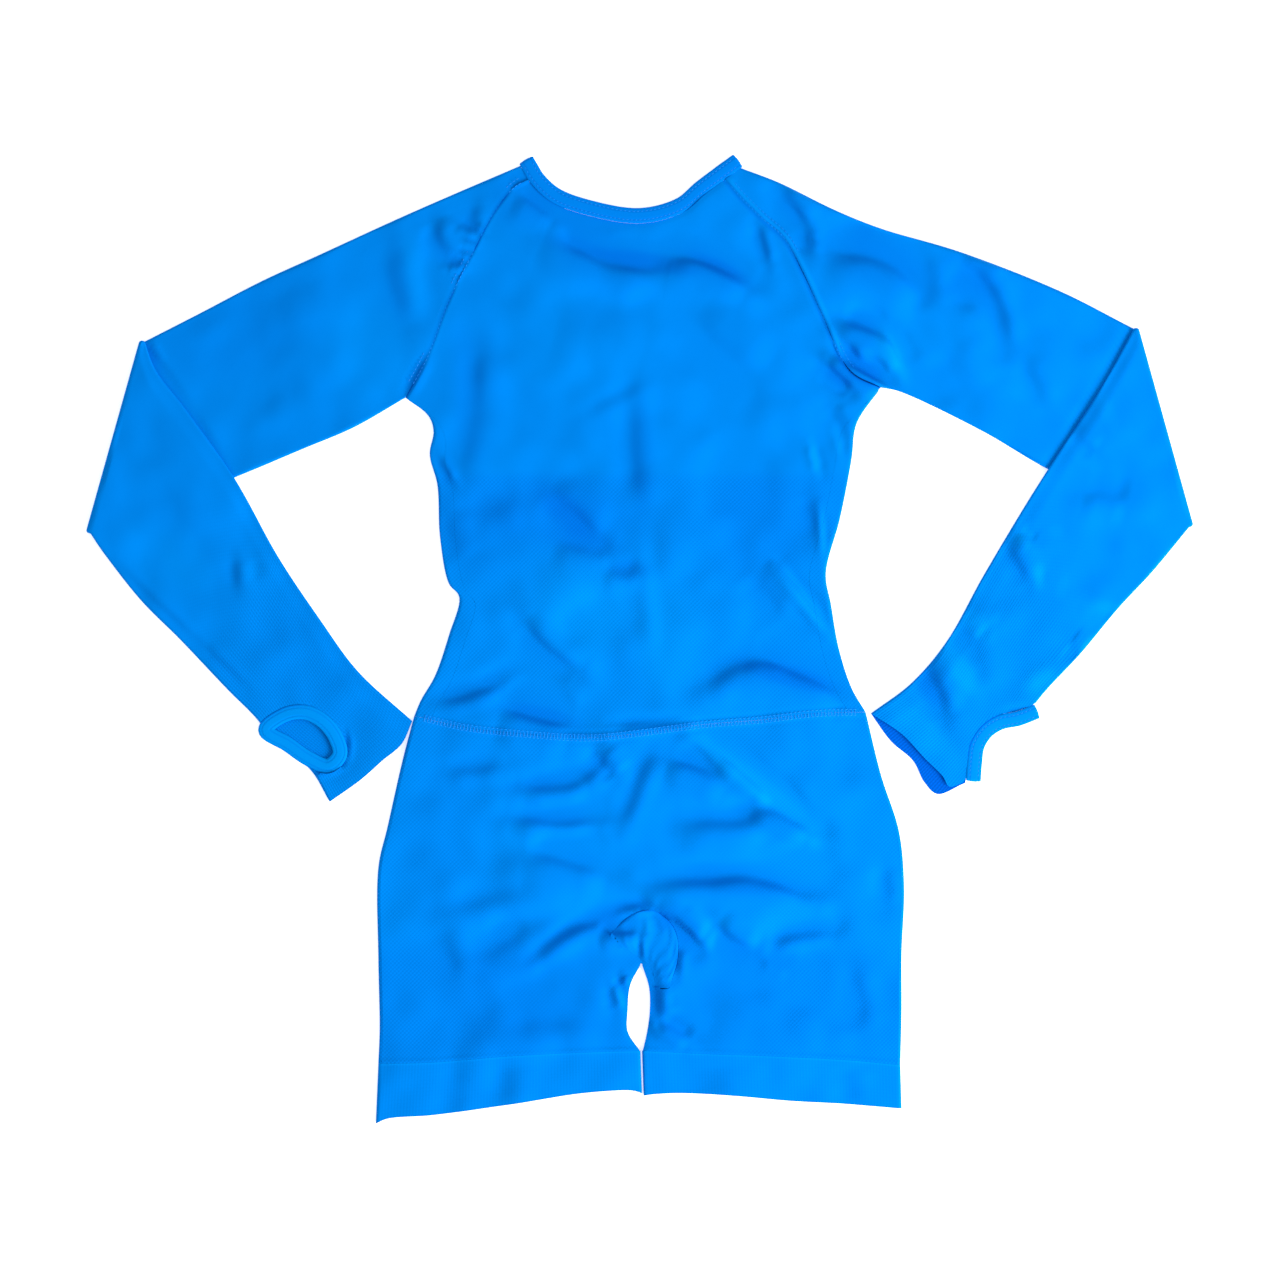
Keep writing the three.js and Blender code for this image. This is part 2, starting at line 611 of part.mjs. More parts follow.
// Hem welts
function hemWelt(weltRows, hemRowsOfLeg) {
  const welt = through(weltRows);
  const hem = through(hemRowsOfLeg);
  const edge = (end) => (t) => welt(end).lerp(hem(end), t);
  const surface = patch(welt, hem, edge(0), edge(1));
  const columns = tubeColumns(counted(halfColumns), counted(underColumns));
  const margin = seamGap / 2 / 40;
  const skinRows = (skin) => counted(hemRows).map((share) => {
    const along = mix(margin, 1, share);
    const width = widthAt(surface, along);
    return columns.map((column) => {
      const [across, height] = tubeSection(column, width, restHeight)[skin];
      const point = surface(across, along);
      point.z = height;
      return point;
    });
  });
  return clothWall(skinRows('outer'), skinRows('inner'), { ring: true });
}

// Bindings. Each section of a band has a centre, a direction across and a direction out of the cloth.

function bandWall(sections, width) {
  const lines = [-1, 0, 1].map((across) => sections.map(({ centre, sideways, outward }) => {
    const crown = across === 0 ? bandCrown : 0;
    const point = centre.clone().addScaledVector(sideways, across * width / 2);
    return {
      outer: point.clone().addScaledVector(outward, wall / 2 + crown),
      inner: point.clone().addScaledVector(outward, -wall / 2),
    };
  }));
  return clothWall(
    lines.map((line) => line.map((p) => p.outer)),
    lines.map((line) => line.map((p) => p.inner)),
    { ring: true },
  );
}

// A bound opening lying flat: over the upper curve, folded at its end, and back along the lower curve
function flatBinding(upper, lower, width, steps) {
  const upperHeight = restHeight - bandCrown - wall / 2;
  const lowerHeight = wall / 2 + bandCrown;
  const middle = (upperHeight + lowerHeight) / 2;
  const radius = (upperHeight - lowerHeight) / 2;
  const rightOf = (along) => new THREE.Vector3(along.y, -along.x, 0);
  const flat = (curve, t, height, up) => {
    const centre = curve(t);
    centre.z = height;
    return { centre, sideways: rightOf(tangentAt(curve, t)), outward: new THREE.Vector3(0, 0, up) };
  };
  const turn = (t, heading, direction) => counted(foldSteps).slice(1, -1).map((share) => {
    const angle = share * Math.PI;
    const along = tangentAt(upper, t).multiplyScalar(heading);
    const outward = along.clone().multiplyScalar(Math.sin(angle));
    outward.z = direction * Math.cos(angle);
    const centre = upper(t).addScaledVector(along, radius * Math.sin(angle));
    centre.z = middle + direction * radius * Math.cos(angle);
    return { centre, sideways: rightOf(tangentAt(upper, t)), outward };
  });
  return bandWall([
    ...counted(steps).map((t) => flat(upper, t, upperHeight, 1)),
    ...turn(1, 1, 1),
    ...counted(steps).map((t) => flat(lower, 1 - t, lowerHeight, -1)),
    ...turn(0, -1, -1),
  ], width);
}

// A bound hole lying open, its far side on the lower layer and its near side on the upper one
function openBinding(rows, width, steps) {
  const curve = through(rows, true);
  const low = wall + layerGap + wall / 2;
  const high = restHeight - wall / 2;
  const farSide = new THREE.Vector3(-275, -90, 0);
  const nearSide = new THREE.Vector3(-236, -62, 0);
  const run = nearSide.clone().sub(farSide);
  const sections = counted(steps).slice(0, -1).map((t) => {
    const centre = curve(t);
    const ahead = curve((t + 0.004) % 1).sub(curve((t + 0.996) % 1)).normalize();
    const share = centre.clone().sub(farSide).dot(run) / run.lengthSq();
    centre.z = mix(low, high, THREE.MathUtils.smoothstep(share, 0.1, 0.9));
    const sideways = new THREE.Vector3(ahead.y, -ahead.x, 0);
    return { centre, sideways, outward: new THREE.Vector3(0, 0, 1) };
  });
  return bandWall(sections, width);
}

const outlineOf = (curve, steps) => counted(steps).map((t) => curve(t));

// The front neck lies lower and its edge is cut to the band
const frontNeckCut = uprightBlock(
  [...outlineOf(beside(frontNeckCurve, bandWidth / 2 + seamGap), bandSteps), new THREE.Vector3(0, 420, 0)],
  -restHeight,
  wall + layerGap / 2,
);

// The left thumb hole is cut in the upper layer only, the right one through the folded edge
const leftThumbCurve = through(leftThumbLine, true);
const leftThumbOutline = counted(48).slice(0, -1).map((t) => {
  const ahead = leftThumbCurve((t + 0.004) % 1).sub(leftThumbCurve((t + 0.996) % 1)).normalize();
  const away = new THREE.Vector3(-ahead.y, ahead.x, 0);
  return leftThumbCurve(t).addScaledVector(away, thumbBandWidth / 2 + seamGap);
});
const leftThumbCut = uprightBlock(leftThumbOutline, wall + layerGap / 2, 3 * restHeight);

const rightThumbCurve = through(rightThumbLine);
const rightThumbEdge = beside(rightThumbCurve, thumbBandWidth / 2 + seamGap);
const rightThumbStart = rightThumbEdge(0).addScaledVector(tangentAt(rightThumbCurve, 0), -20);
const rightThumbEnd = rightThumbEdge(1).addScaledVector(tangentAt(rightThumbCurve, 1), 20);
const rightThumbCut = uprightBlock(
  [rightThumbStart, ...outlineOf(rightThumbEdge, 24), rightThumbEnd, new THREE.Vector3(330, -140, 0)],
  -restHeight,
  3 * restHeight,
);

// Gusset, on the upper layer between the legs
const gussetFar = through(gussetUpper);
const gussetNear = through(gussetLower);
const gussetColumns = 14;
const gussetRows = 3;
const gussetEdge = (end) => (t) => gussetNear(end).lerp(gussetFar(end), t);
const gussetPatch = patch(gussetNear, gussetFar, gussetEdge(0), gussetEdge(1));

function gussetWall() {
  const lowest = wall + layerGap;
  const skin = (thickness) => counted(gussetRows).map((along) => counted(gussetColumns).map((across) => {
    const point = gussetPatch(across, along);
    const puff = Math.sin(Math.PI * along) * Math.sin(Math.PI * across);
    point.z = lowest + thickness + 1.4 * puff + 0.8 * along;
    return point;
  }));
  return clothWall(skin(wall), skin(0));
}

const gussetOutline = [
  ...outlineOf(beside(gussetNear, seamGap * 1.5), gussetColumns),
  ...outlineOf(beside(gussetFar, -seamGap * 1.5), gussetColumns).toReversed(),
];
const gussetCut = uprightBlock(gussetOutline, wall + layerGap / 2, 3 * restHeight);

// The jumpsuit
function piece(name, geometry, material) {
  const mesh = new THREE.Mesh(geometry, new THREE.MeshStandardMaterial(materials[material]));
  mesh.name = name;
  return mesh;
}

const jumpsuit = new THREE.Group();
jumpsuit.add(
  piece('back_bodice', upperPanel(bodice), 'knit'),
  piece('front_bodice', cutBy(underPanel(bodice), frontNeckCut), 'knit'),
  piece('left_sleeve', cutBy(sleeve(leftArm, leftUpperFolds, leftForearmFolds), leftThumbCut), 'knit'),
  piece('right_sleeve', cutBy(sleeve(rightArm, rightUpperFolds, rightForearmFolds), rightThumbCut), 'knit'),
  piece('shorts_back', cutBy(upperPanel(shorts), gussetCut), 'knit'),
  piece('shorts_front', underPanel(shorts), 'knit'),
  piece('gusset', gussetWall(), 'knit'),
  piece('left_hem', hemWelt(leftWelt, leftHem), 'welt'),
  piece('right_hem', hemWelt(rightWelt, rightHem), 'welt'),
  piece('neckband', flatBinding(neckCurve, frontNeckCurve, bandWidth, bandSteps), 'binding'),
  piece('left_thumb_binding', openBinding(leftThumbLine, thumbBandWidth, 28), 'binding'),
  piece('right_thumb_binding', flatBinding(rightThumbCurve, rightThumbCurve, thumbBandWidth, 10), 'binding'),
);

export default jumpsuit;
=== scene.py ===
# A knitted yoga jumpsuit laid flat with its back up: cloth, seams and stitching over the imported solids.
import math

import bpy
import numpy as np
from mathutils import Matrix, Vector


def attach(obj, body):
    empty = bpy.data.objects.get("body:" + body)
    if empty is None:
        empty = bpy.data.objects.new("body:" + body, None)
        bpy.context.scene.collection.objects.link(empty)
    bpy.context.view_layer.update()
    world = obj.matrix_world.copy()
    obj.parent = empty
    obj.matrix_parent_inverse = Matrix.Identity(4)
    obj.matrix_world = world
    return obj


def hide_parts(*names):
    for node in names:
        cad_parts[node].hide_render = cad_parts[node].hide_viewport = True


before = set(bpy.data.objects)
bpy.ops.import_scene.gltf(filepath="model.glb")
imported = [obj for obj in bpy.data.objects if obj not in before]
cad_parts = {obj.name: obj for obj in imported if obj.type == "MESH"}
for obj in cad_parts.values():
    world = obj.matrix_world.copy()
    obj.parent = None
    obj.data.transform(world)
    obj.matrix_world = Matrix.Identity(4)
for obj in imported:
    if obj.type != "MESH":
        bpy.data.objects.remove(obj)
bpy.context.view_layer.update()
mm = 0.001  # every table below is in millimetres, x to the right and y to the neck

# Sizes that the pieces share, as in the solids
cloth = {
    "wall": 1.0,
    "seamGap": 0.08,
    "restHeight": 4.2,
    "upperRoll": 3.0,
    "underRoll": 2.4,
    "layerGap": 0.4,
    "deepestTrough": 2.0,
    "tallestRidge": 5.0,
    "press": {"left": 0.5, "right": 1.0},
    "legRoll": 6.0,
    "creaseDepth": 1.65,
    "creaseWidth": 1.5,
    "creaseShade": 0.34,
    "creaseTaper": 0.32,
    "creaseEnd": 0.3,
    "leastFacing": 0.45,
    "shadeSpread": 1.1,
    "paintedShadeRange": (0.8, 1.12),
    "edgeFade": 4.0,
}
wall = cloth["wall"]
restHeight = cloth["restHeight"]
edgeHeight = restHeight / 2
upperRoll = cloth["upperRoll"]
underRoll = cloth["underRoll"]

# Seams and edges, each a row of x, y
waistSeam = [
    [-176, -60], [-136, -69], [-90, -74], [-39, -77], [2, -73], [47, -67], [95, -63], [137, -58], [176, -57],
]
sideEdge = {
    "left": [
        [-176, -60], [-171, -48], [-160, -29], [-149, 3], [-141, 33], [-149, 43], [-156, 80], [-158, 120],
        [-164, 144], [-161, 162], [-165, 174], [-183, 188],
    ],
    "right": [
        [176, -57], [165, -38], [155, -7], [149, 27], [145, 51], [156, 94], [165, 140], [169, 168],
        [188, 196],
    ],
}
raglanSeam = {
    "left": [[-183, 188], [-166, 219], [-150, 261], [-133, 296], [-112, 335], [-98, 352]],
    "right": [[188, 196], [164, 209], [142, 253], [127, 286], [112, 313], [94, 329], [77, 346]],
}
neckLine = [[-88, 372], [-81, 360], [-66, 346], [-39, 336], [0, 330], [31, 338], [48, 352], [75, 372]]
frontNeckLine = [
    [-88, 372], [-81, 360], [-67, 336], [-40, 314], [0, 305], [34, 321], [48, 346], [59, 360], [75, 372],
]
neckPoints = {
    "middle": [0, 324],
    "frontMiddle": [0, 299],
    "left": [-87, 358],
    "right": [69, 355],
    "leftFront": [-77, 338],
    "rightFront": [62, 338],
}
outerLeg = {
    "left": [[-176, -60], [-185, -94], [-197, -147], [-204, -178], [-204, -250], [-203, -304], [-204, -331]],
    "right": [[176, -57], [188, -106], [202, -150], [206, -193], [204, -246], [204, -290], [203, -332]],
}
crotch = [1, -254]
innerLeg = {
    "left": [[1, -254], [-7, -270], [-9, -290], [-9, -306], [0.4, -321]],
    "right": [[1, -254], [6.5, -272], [7, -290], [5, -306], [1.6, -321]],
}
weltLine = {
    "left": [[-204, -331], [-163, -330], [-101, -325], [-38, -322], [0.4, -321]],
    "right": [[203, -332], [160, -328], [102, -325], [44, -323], [1.6, -321]],
}
hemLine = {
    "left": [[-206, -377.8], [-197, -374], [-160, -371], [-102, -363], [-44, -354], [-6, -352], [1.6, -354]],
    "right": [[204, -366], [154, -362], [116, -360], [73, -356], [29, -354], [10, -355], [2.8, -356]],
}
arms = {
    "left": {
        "sign": -1,
        "shoulder": [[-140, 349], [-188, 328], [-249, 300], [-295, 279], [-343, 254], [-386, 232]],
        "underarm": [[-183, 188], [-223, 165], [-262, 148.5], [-317, 125.5], [-374, 104], [-428, 82]],
        "inside": [
            [-386, 232], [-378, 211], [-354, 179], [-317, 127], [-282, 64], [-250, 16], [-220, -25],
            [-177.5, -64],
        ],
        "outside": [
            [-428, 82], [-418, 67], [-389, 30], [-358, -1], [-321, -40], [-300, -61], [-283, -82],
            [-257, -102], [-242, -127],
        ],
        "cuffTop": [[-177.5, -64], [-186, -82], [-201, -95], [-218, -110], [-242, -127]],
        "cuffUnder": [[-177.5, -64], [-186, -82], [-201, -95], [-218, -110], [-242, -127]],
    },
    "right": {
        "sign": 1,
        "shoulder": [[108, 356], [153, 334], [188, 320], [249, 302], [328, 271], [384.8, 242]],
        "underarm": [[188, 196], [202, 193], [267, 162], [319, 132], [374, 110], [427.8, 87]],
        "inside": [
            [384.8, 242], [360, 197], [319, 134], [296, 97], [267, 48], [239, -2], [212, -34], [180, -58],
        ],
        "outside": [[427.8, 87], [400, 53], [373, 24], [343, -12], [315, -42], [289, -76], [265, -108]],
        "cuffTop": [[180, -58], [204, -74], [222, -93], [236, -107], [241, -115], [252, -112], [265, -108]],
        "cuffUnder": [[180, -58], [196, -80], [213, -95], [222, -112], [232, -121], [252, -113], [265, -108]],
    },
}
thumbLine = {
    "left": [
        [-292, -71], [-277, -59], [-261, -57], [-247, -64], [-237, -77], [-234, -90], [-243, -99],
        [-259, -93], [-275, -82],
    ],
    "right": [[308, -57], [295, -62], [281, -65], [270, -72], [263, -83], [261, -96], [260, -109]],
}

# Creases of the upper layer: from, to, bow to the right of the run, half width and how steep the cloth
# stands on that line, above 0 where it turns away from the window side and below 0 where it faces it
# the steepness also sets the painted shade along a crease, and below 0 a painted highlight
backCreases = [
    ([-76, 318], [24, 288], 9, 12, 0.32),
    ([24, 303], [86, 273], -2, 8, 0.34),
    ([-78, 336], [0, 320], 4, 10, 0.2),
    ([-96, 348], [-64, 330], 0, 8, 0.2),
    ([92, 324], [101, 291], 0, 4, 0.3),
    ([-119, 243], [-126, 191], 0, 9, 0.07),
    ([-125, 232], [-145, 124], -9, 10, 0.11),
    ([-126, 227], [-129, 175], 0, 6, 0.07),
    ([-5, 191], [2, 101], 2, 8, 0.16),
    ([-74, 115], [-31, 77], -4, 9, 0.14),
    ([-31, 52], [2, 53], 2, 6, 0.14),
    ([-132, 96], [-89, 105], 0, 10, 0.07),
    ([-91, 15], [-46, -25], 4, 7, 0.24),
    ([-158, 142], [-145, 122], 0, 3, 0.3),
    ([-162, -49], [-101, -28], 5, 6, 0.33),
    ([-110, -54], [-52, -70], 0, 11, 0.32),
    ([-166.5, 219], [-182, 190], 0, 3, 0.45),
    ([-129, 322], [-121, 316], 0, 1.8, 0.22),
    ([-137, 312], [-127, 307], 0, 1.8, 0.22),
    ([-143, 303], [-132, 299], 0, 2.2, 0.25),
    ([-150, 293], [-137, 292], 0, 3.5, 0.3),
    ([49, -38], [98, -19], -2, 8, 0.28),
    ([82, -17], [160, -46], -4, 11, 0.3),
    ([107, 58], [149, 5], 0, 4, -0.35),
    ([89, 55], [115, 16], 0, 10, 0.12),
    ([144, 214], [167, 197], 0, 5, 0.6),
    ([133, 153], [140, 129], 0, 3, -0.3),
    ([149, 182], [164, 158], 0, 5, 0.15),
    ([151, 172], [158, 142], 0, 3, -0.2),
    ([134, 114], [138, 78], 0, 6, 0.16),
    ([141, 104], [144, 62], 0, 2.5, -0.3),
    ([40, 250], [95, 205], 0, 16, 0.08),
    ([-60, 262], [10, 240], 0, 22, 0.07),
    ([30, 150], [70, 60], 0, 24, -0.06),
    ([5, 88], [14, -20], 0, 6, -0.07),
    ([-66, 80], [-20, 66], 3, 9, 0.11),
    ([-46, 172], [6, 200], 0, 5, 0.08),
    ([-151, 100], [-138, 60], 0, 10, 0.12),
    ([-80, 20], [-20, 40], 0, 18, -0.07),
]
shortsCreases = [
    ([-94, -118], [-40, -110], 2, 7, 0.28),
    ([-48, -112], [-28, -88], 3, 6, 0.28),
    ([-31, -88], [-17, -107], 0, 6, 0.22),
    ([-103, -140], [-31, -141], 2, 7, 0.27),
    ([-153, -104], [-105, -100], 0, 6, 0.15),
    ([11, -85], [-15, -150], 0, 6, 0.25),
    ([22, -94], [68, -116], -3, 8, 0.3),
    ([44, -74], [135, -150], 0, 7, -0.38),
    ([87, -130], [133, -152], 0, 6, 0.35),
    ([30, -144], [106, -138], 3, 8, 0.24),
    ([11, -193], [140, -201], -8, 8, 0.34),
    ([-92, -172], [-24, -180], -2, 12, 0.22),
    ([-22, -68], [35, -66], 0, 4, 0.25),
    ([192, -176], [194, -208], 0, 6, 0.15),
    ([168, -250], [174, -310], 0, 8, 0.1),
    ([-157, -214], [-74, -196], 0, 8, 0.15),
    ([-84, -251], [0, -209], -6, 5, 0.5),
    ([-26, -214], [14, -211], -4, 3, 0.4),
    ([10, -210], [47, -238], -4, 5, 0.6),
    ([60, -222], [90, -242], 3, 7, 0.35),
    ([98, -240], [152, -228], -3, 6, 0.28),
    ([94, -246], [120, -258], 0, 6, 0.15),
    ([-153, -220], [-140, -268], 0, 11, 0.1),
    ([-115, -312], [-25, -304], -4, 9, 0.08),
    ([-138, -262], [-80, -236], 0, 12, 0.14),
    ([-122, -249], [-55, -224], -10, 8, 0.15),
    ([-60, -160], [-50, -230], 0, 26, -0.06),
    ([90, -165], [120, -215], 0, 22, -0.06),
    ([-150, -300], [-60, -290], 0, 20, 0.07),
    ([60, -275], [150, -300], 0, 22, 0.07),
    ([-34, -229], [0, -228], 0, 6, 0.5),
    ([14, -218], [20, -229], 0, 3.5, 0.5),
    ([9, -217], [8, -230], 0, 3, -0.3),
    ([0.6, -234], [1.6, -250], 0, 2.2, 0.3),
    ([25, -218], [46, -237], 0, 7, 0.32),
    ([31, -236], [30, -264], 0, 3, 0.35),
    ([13, -266], [15, -296], 0, 7, 0.42),
    ([21.5, -275], [23, -288], 0, 3, -0.2),
    ([-15, -263], [-13, -270], 0, 3, 0.5),
    ([-18.5, -268], [-11, -288], 0, 2.5, -0.3),
    ([-22, -270], [-19, -290], 0, 4, 0.2),
    ([13.5, -298], [40, -314], 0, 5, 0.25),
    ([11, -296], [16, -309], 0, 2.5, -0.12),
]
upperArmCreases = {
    "left": [
        ([-385, 232], [-375, 212], 0, 2.6, 0.5),
        ([-126, 341], [-133, 312], 0, 5, 0.2),
        ([-194, 306], [-185, 243], 0, 11, 0.09),
        ([-178, 309], [-165, 243], 0, 9, -0.06),
        ([-158, 328], [-141, 294], 6, 6, 0.25),
        ([-142, 325], [-126, 315], 0, 4, 0.2),
        ([-300, 262], [-262, 180], 0, 24, 0.05),
        ([-240, 280], [-225, 200], 0, 20, -0.05),
    ],
    "right": [
        ([109, 352], [132, 322], 0, 6, 0.3),
        ([129, 322], [134, 299], 0, 5, 0.3),
        ([143, 297], [222, 268], -12, 14, 0.2),
        ([246, 296], [274, 270], 0, 11, 0.18),
        ([164, 230], [172, 213], 0, 5, 0.5),
        ([196, 194], [318, 134], 0, 1.4, 0.4),
        ([168, 328], [185, 315], 0, 8, 0.2),
        ([220, 300], [232, 256], 0, 10, 0.16),
        ([263, 296], [288, 224], -4, 6, 0.25),
        ([299, 221], [319, 181], 0, 7, 0.12),
        ([155, 245], [190, 232], -4, 7, 0.4),
        ([191, 239], [206, 211], 0, 6, -0.4),
        ([165, 213], [189, 199], 0, 6, 0.7),
        ([240, 230], [262, 190], 0, 16, 0.06),
    ],
}
forearmCreases = {
    "left": [
        ([-315, 64], [-313, 38], 0, 4, 0.14),
        ([-306, 62], [-302, 45], 0, 5, -0.14),
        ([-228, -72], [-230, -97], -2, 1.6, 0.6),
        ([-231, -98], [-256, -105], -1, 1.8, 0.7),
        ([-409, 60], [-343, -2], 0, 3, 0.12),
        ([-343, -2], [-305, -36], 0, 3, 0.12),
        ([-345, 120], [-372, 60], 0, 18, 0.05),
    ],
    "right": [
        ([345, 115], [381, 106], 0, 9, 0.12),
        ([336, 161], [356, 146], 0, 5, 0.15),
        ([286, 77], [304, 44], 0, 6, 0.25),
        ([220, -10], [240, -62], -2, 7, 0.34),
        ([236, -2], [264, -42], 0, 8, -0.1),
        ([252, 22], [278, 8], 0, 6, -0.1),
        ([248, 12], [262, -2], 0, 7, 0.12),
        ([302, -40], [326, -24], 0, 6, -0.1),
        ([346, 30], [380, 18], 0, 5, -0.07),
        ([295, 84], [307, 74], 0, 4, -0.2),
        ([311, 54], [311, 42], 0, 3, -0.1),
        ([334, -2], [345, -10], 0, 6, 0.12),
        ([283, -60], [306, -57.5], 0, 3, 0.35),
        ([386, 232], [325, 134], 0, 5, 0.08),
        ([360, 150], [392, 70], 0, 16, 0.05),
    ],
}
weltCreases = [
    ([-141, -330], [-142, -376], 0, 8, 0.09),
    ([-99, -328], [-102, -364], 0, 10, 0.09),
    ([60, -330], [56, -360], 0, 12, 0.06),
    ([166, -330], [167, -364], 0, 8, 0.1),
]

# Patches of painted shade and painted light, partly where the knit is stretched pale or lies close and dark:
# middle, half sizes, turn in degrees, change
bodyShadeAndStretchPools = [
    (-62, 96, 58, 28, -10, -0.07),
    (92, 84, 44, 48, 0, -0.08),
    (-46, 18, 42, 38, 20, 0.09),
    (24, -4, 26, 44, 0, 0.09),
    (84, -58, 74, 12, 4, 0.05),
    (4, 294, 42, 8, -9, -0.19),
    (64, 288, 24, 6, -27, -0.15),
    (-50, 306, 26, 7, -14, -0.06),
    (116, -29, 38, 8, -15, -0.17),
    (-75, -60, 30, 7, -14, -0.1),
    (-57, 99, 26, 12, -40, -0.11),
    (-9, 54, 15, 8, 0, -0.1),
    (-42, 76, 30, 9, -14, -0.06),
    (1, 146, 9, 42, 2, -0.06),
    (75, -192, 54, 6, -3, -0.1),
    (-84, -114, 26, 6, 10, -0.06),
    (-66, -142, 36, 5, 0, -0.05),
    (-188, 276, 32, 9, 98, -0.05),
    (-176, 286, 30, 8, 98, 0.05),
    (-96, 346, 24, 26, 0, -0.06),
    (-134, 188, 12, 58, 5, -0.05),
    (-122, 78, 34, 32, 0, -0.04),
    (-45, 240, 60, 55, 0, 0.03),
    (96, -117, 62, 8, -39, 0.1),
    (-66, -158, 48, 14, -3, 0.05),
    (140, -150, 46, 40, 30, 0.04),
    (60, -226, 48, 14, -4, 0.05),
    (-150, -150, 34, 80, -8, -0.04),
    (-90, -282, 62, 34, 10, -0.03),
    (-308, 244, 76, 36, 25, -0.04),
    (-206, 222, 34, 42, 0, 0.05),
    (178, 300, 42, 22, -20, -0.07),
    (258, 280, 24, 22, -35, -0.07),
    (196, 222, 9, 24, 26, 0.08),
    (296, 196, 40, 12, -27, 0.05),
    (222, 240, 26, 20, 0, 0.03),
]
forearmShadeAndStretchPools = {
    "left": [
        (-378, 60, 34, 22, -60, 0.04),
        (-352, 60, 30, 16, -60, 0.04),
        (-250, -20, 60, 40, -45, -0.02),
    ],
    "right": [
        (264, 10, 17, 8, -40, 0.09),
        (250, -24, 23, 9, -53, 0.15),
        (312, -34, 14, 11, 40, 0.13),
        (221, -72, 34, 11, -42, 0.14),
        (223, -34, 21, 9, -60, -0.14),
        (300, 80, 7, 6, 0, 0.1),
        (324, 84, 6, 6, 0, 0.08),
        (311, 49, 5, 10, 0, 0.1),
        (329, 40, 5, 10, -20, 0.08),
        (355, 18, 16, 7, 42, 0.07),
        (364, 178, 6, 16, 20, 0.07),
        (350, 140, 14, 7, -30, 0.07),
        (296, -4, 16, 26, -40, -0.03),
    ],
}

# Creases of the lower layer: from, to, bow, half width and how far the cloth stands off the surface
underCreases = [
    ([-112, 252], [-42, 236], 7, 5, 0.9),
    ([56, 302], [108, 262], 0, 4, 0.8),
    ([-34, 184], [22, 128], -8, 6, 1.1),
    ([-152, 62], [-92, 34], 6, 5, 1.0),
    ([70, 72], [142, 92], 9, 6, 0.9),
    ([-62, 12], [12, -12], 5, 5, 0.8),
    ([98, -18], [152, -44], 0, 4, 1.0),
    ([-164, -82], [-88, -106], -9, 5, 1.0),
    ([28, -94], [112, -122], 6, 6, 1.1),
    ([-18, -138], [-8, -192], 0, 4, 0.8),
    ([-122, -178], [-48, -206], 10, 6, 1.0),
    ([62, -192], [152, -178], -7, 5, 0.9),
    ([-92, -262], [-22, -236], -6, 4, 1.0),
    ([18, -262], [82, -238], 5, 4, 0.9),
    ([-162, -288], [-98, -302], 0, 7, 0.8),
    ([92, -302], [162, -284], 6, 6, 0.9),
    ([-236, 274], [-204, 212], 5, 6, 0.9),
    ([-306, 222], [-268, 166], -4, 5, 1.0),
    ([-372, 196], [-344, 138], 0, 6, 0.8),
    ([206, 290], [232, 216], -6, 5, 1.0),
    ([286, 252], [262, 186], 0, 6, 0.8),
    ([352, 212], [372, 138], 5, 5, 0.9),
    ([-352, 42], [-306, 2], 0, 6, 0.8),
    ([-282, 26], [-252, -14], 4, 5, 0.7),
    ([-236, -42], [-214, -76], 0, 4, 0.7),
    ([296, 24], [334, -8], 0, 5, 0.8),
    ([248, -28], [276, -58], -3, 5, 0.7),
]

# Low waves that cross the whole cloth: length, direction in degrees, start and height
softWaves = [
    (74, 20, 0.4, 0.50), (58, 115, 2.1, 0.42), (43, 70, 4.0, 0.30), (33, 160, 1.3, 0.20), (27, 40, 5.2, 0.12),
]


# Curves

def smoothstep(value, low, high):
    share = np.clip((value - low) / (high - low), 0, 1)
    return share * share * (3 - 2 * share)


def lerp(first, second, share):
    return first + (second - first) * share


def through(rows, closed=False):
    # Catmull-Rom spline with knots at the square root of the chord, run through at even arc length
    points = np.array(rows, float)
    if closed:
        ring = np.vstack([points[-1:], points, points[:2]])
    else:
        ring = np.vstack([2 * points[:1] - points[1:2], points, 2 * points[-1:] - points[-2:-1]])
    gaps = np.sqrt(np.linalg.norm(np.diff(ring, axis=0), axis=1))[:, None]
    a, b, c, d = ring[:-3], ring[1:-2], ring[2:-1], ring[3:]
    g0, g1, g2 = gaps[:-2], gaps[1:-1], gaps[2:]
    leave = ((b - a) / g0 - (c - a) / (g0 + g1) + (c - b) / g1) * g1
    arrive = ((c - b) / g1 - (d - b) / (g1 + g2) + (d - c) / g2) * g1
    s = np.linspace(0, 1, 120, endpoint=False)[None, :, None]
    b, c, leave, arrive = (value[:, None, :] for value in (b, c, leave, arrive))
    line = b + leave * s + (3 * (c - b) - 2 * leave - arrive) * s**2 + (2 * (b - c) + leave + arrive) * s**3
    line = np.vstack([line.reshape(-1, 2), ring[-2]])
    lengths = np.concatenate([[0], np.cumsum(np.linalg.norm(np.diff(line, axis=0), axis=1))])
    shares = lengths / lengths[-1]
    return lambda t: np.stack([np.interp(np.clip(t, 0, 1), shares, line[:, k]) for k in (0, 1)], -1)


def span(curve, start, end):
    return lambda t: curve(lerp(start, end, np.asarray(t, float)))


def chain(share, first, second):
    def joined(t):
        t = np.asarray(t, float)
        early, late = np.clip(t / share, 0, 1), np.clip((t - share) / (1 - share), 0, 1)
        return np.where((t < share)[..., None], first(early), second(late))
    return joined


def straight(start, end):
    start, end = np.array(start, float), np.array(end, float)
    return lambda t: start + (end - start) * np.asarray(t, float)[..., None]


def tangentAt(curve, t, closed=False):
    # the chord over four thousandths of the curve, made one long
    step = 0.002
    t = np.asarray(t, float)
    after, before = (np.mod(t + step, 1), np.mod(t - step, 1)) if closed else (t + step, t - step)
    chord = curve(np.minimum(after, 1)) - curve(np.maximum(before, 0))
    return chord / np.linalg.norm(chord, axis=-1, keepdims=True)


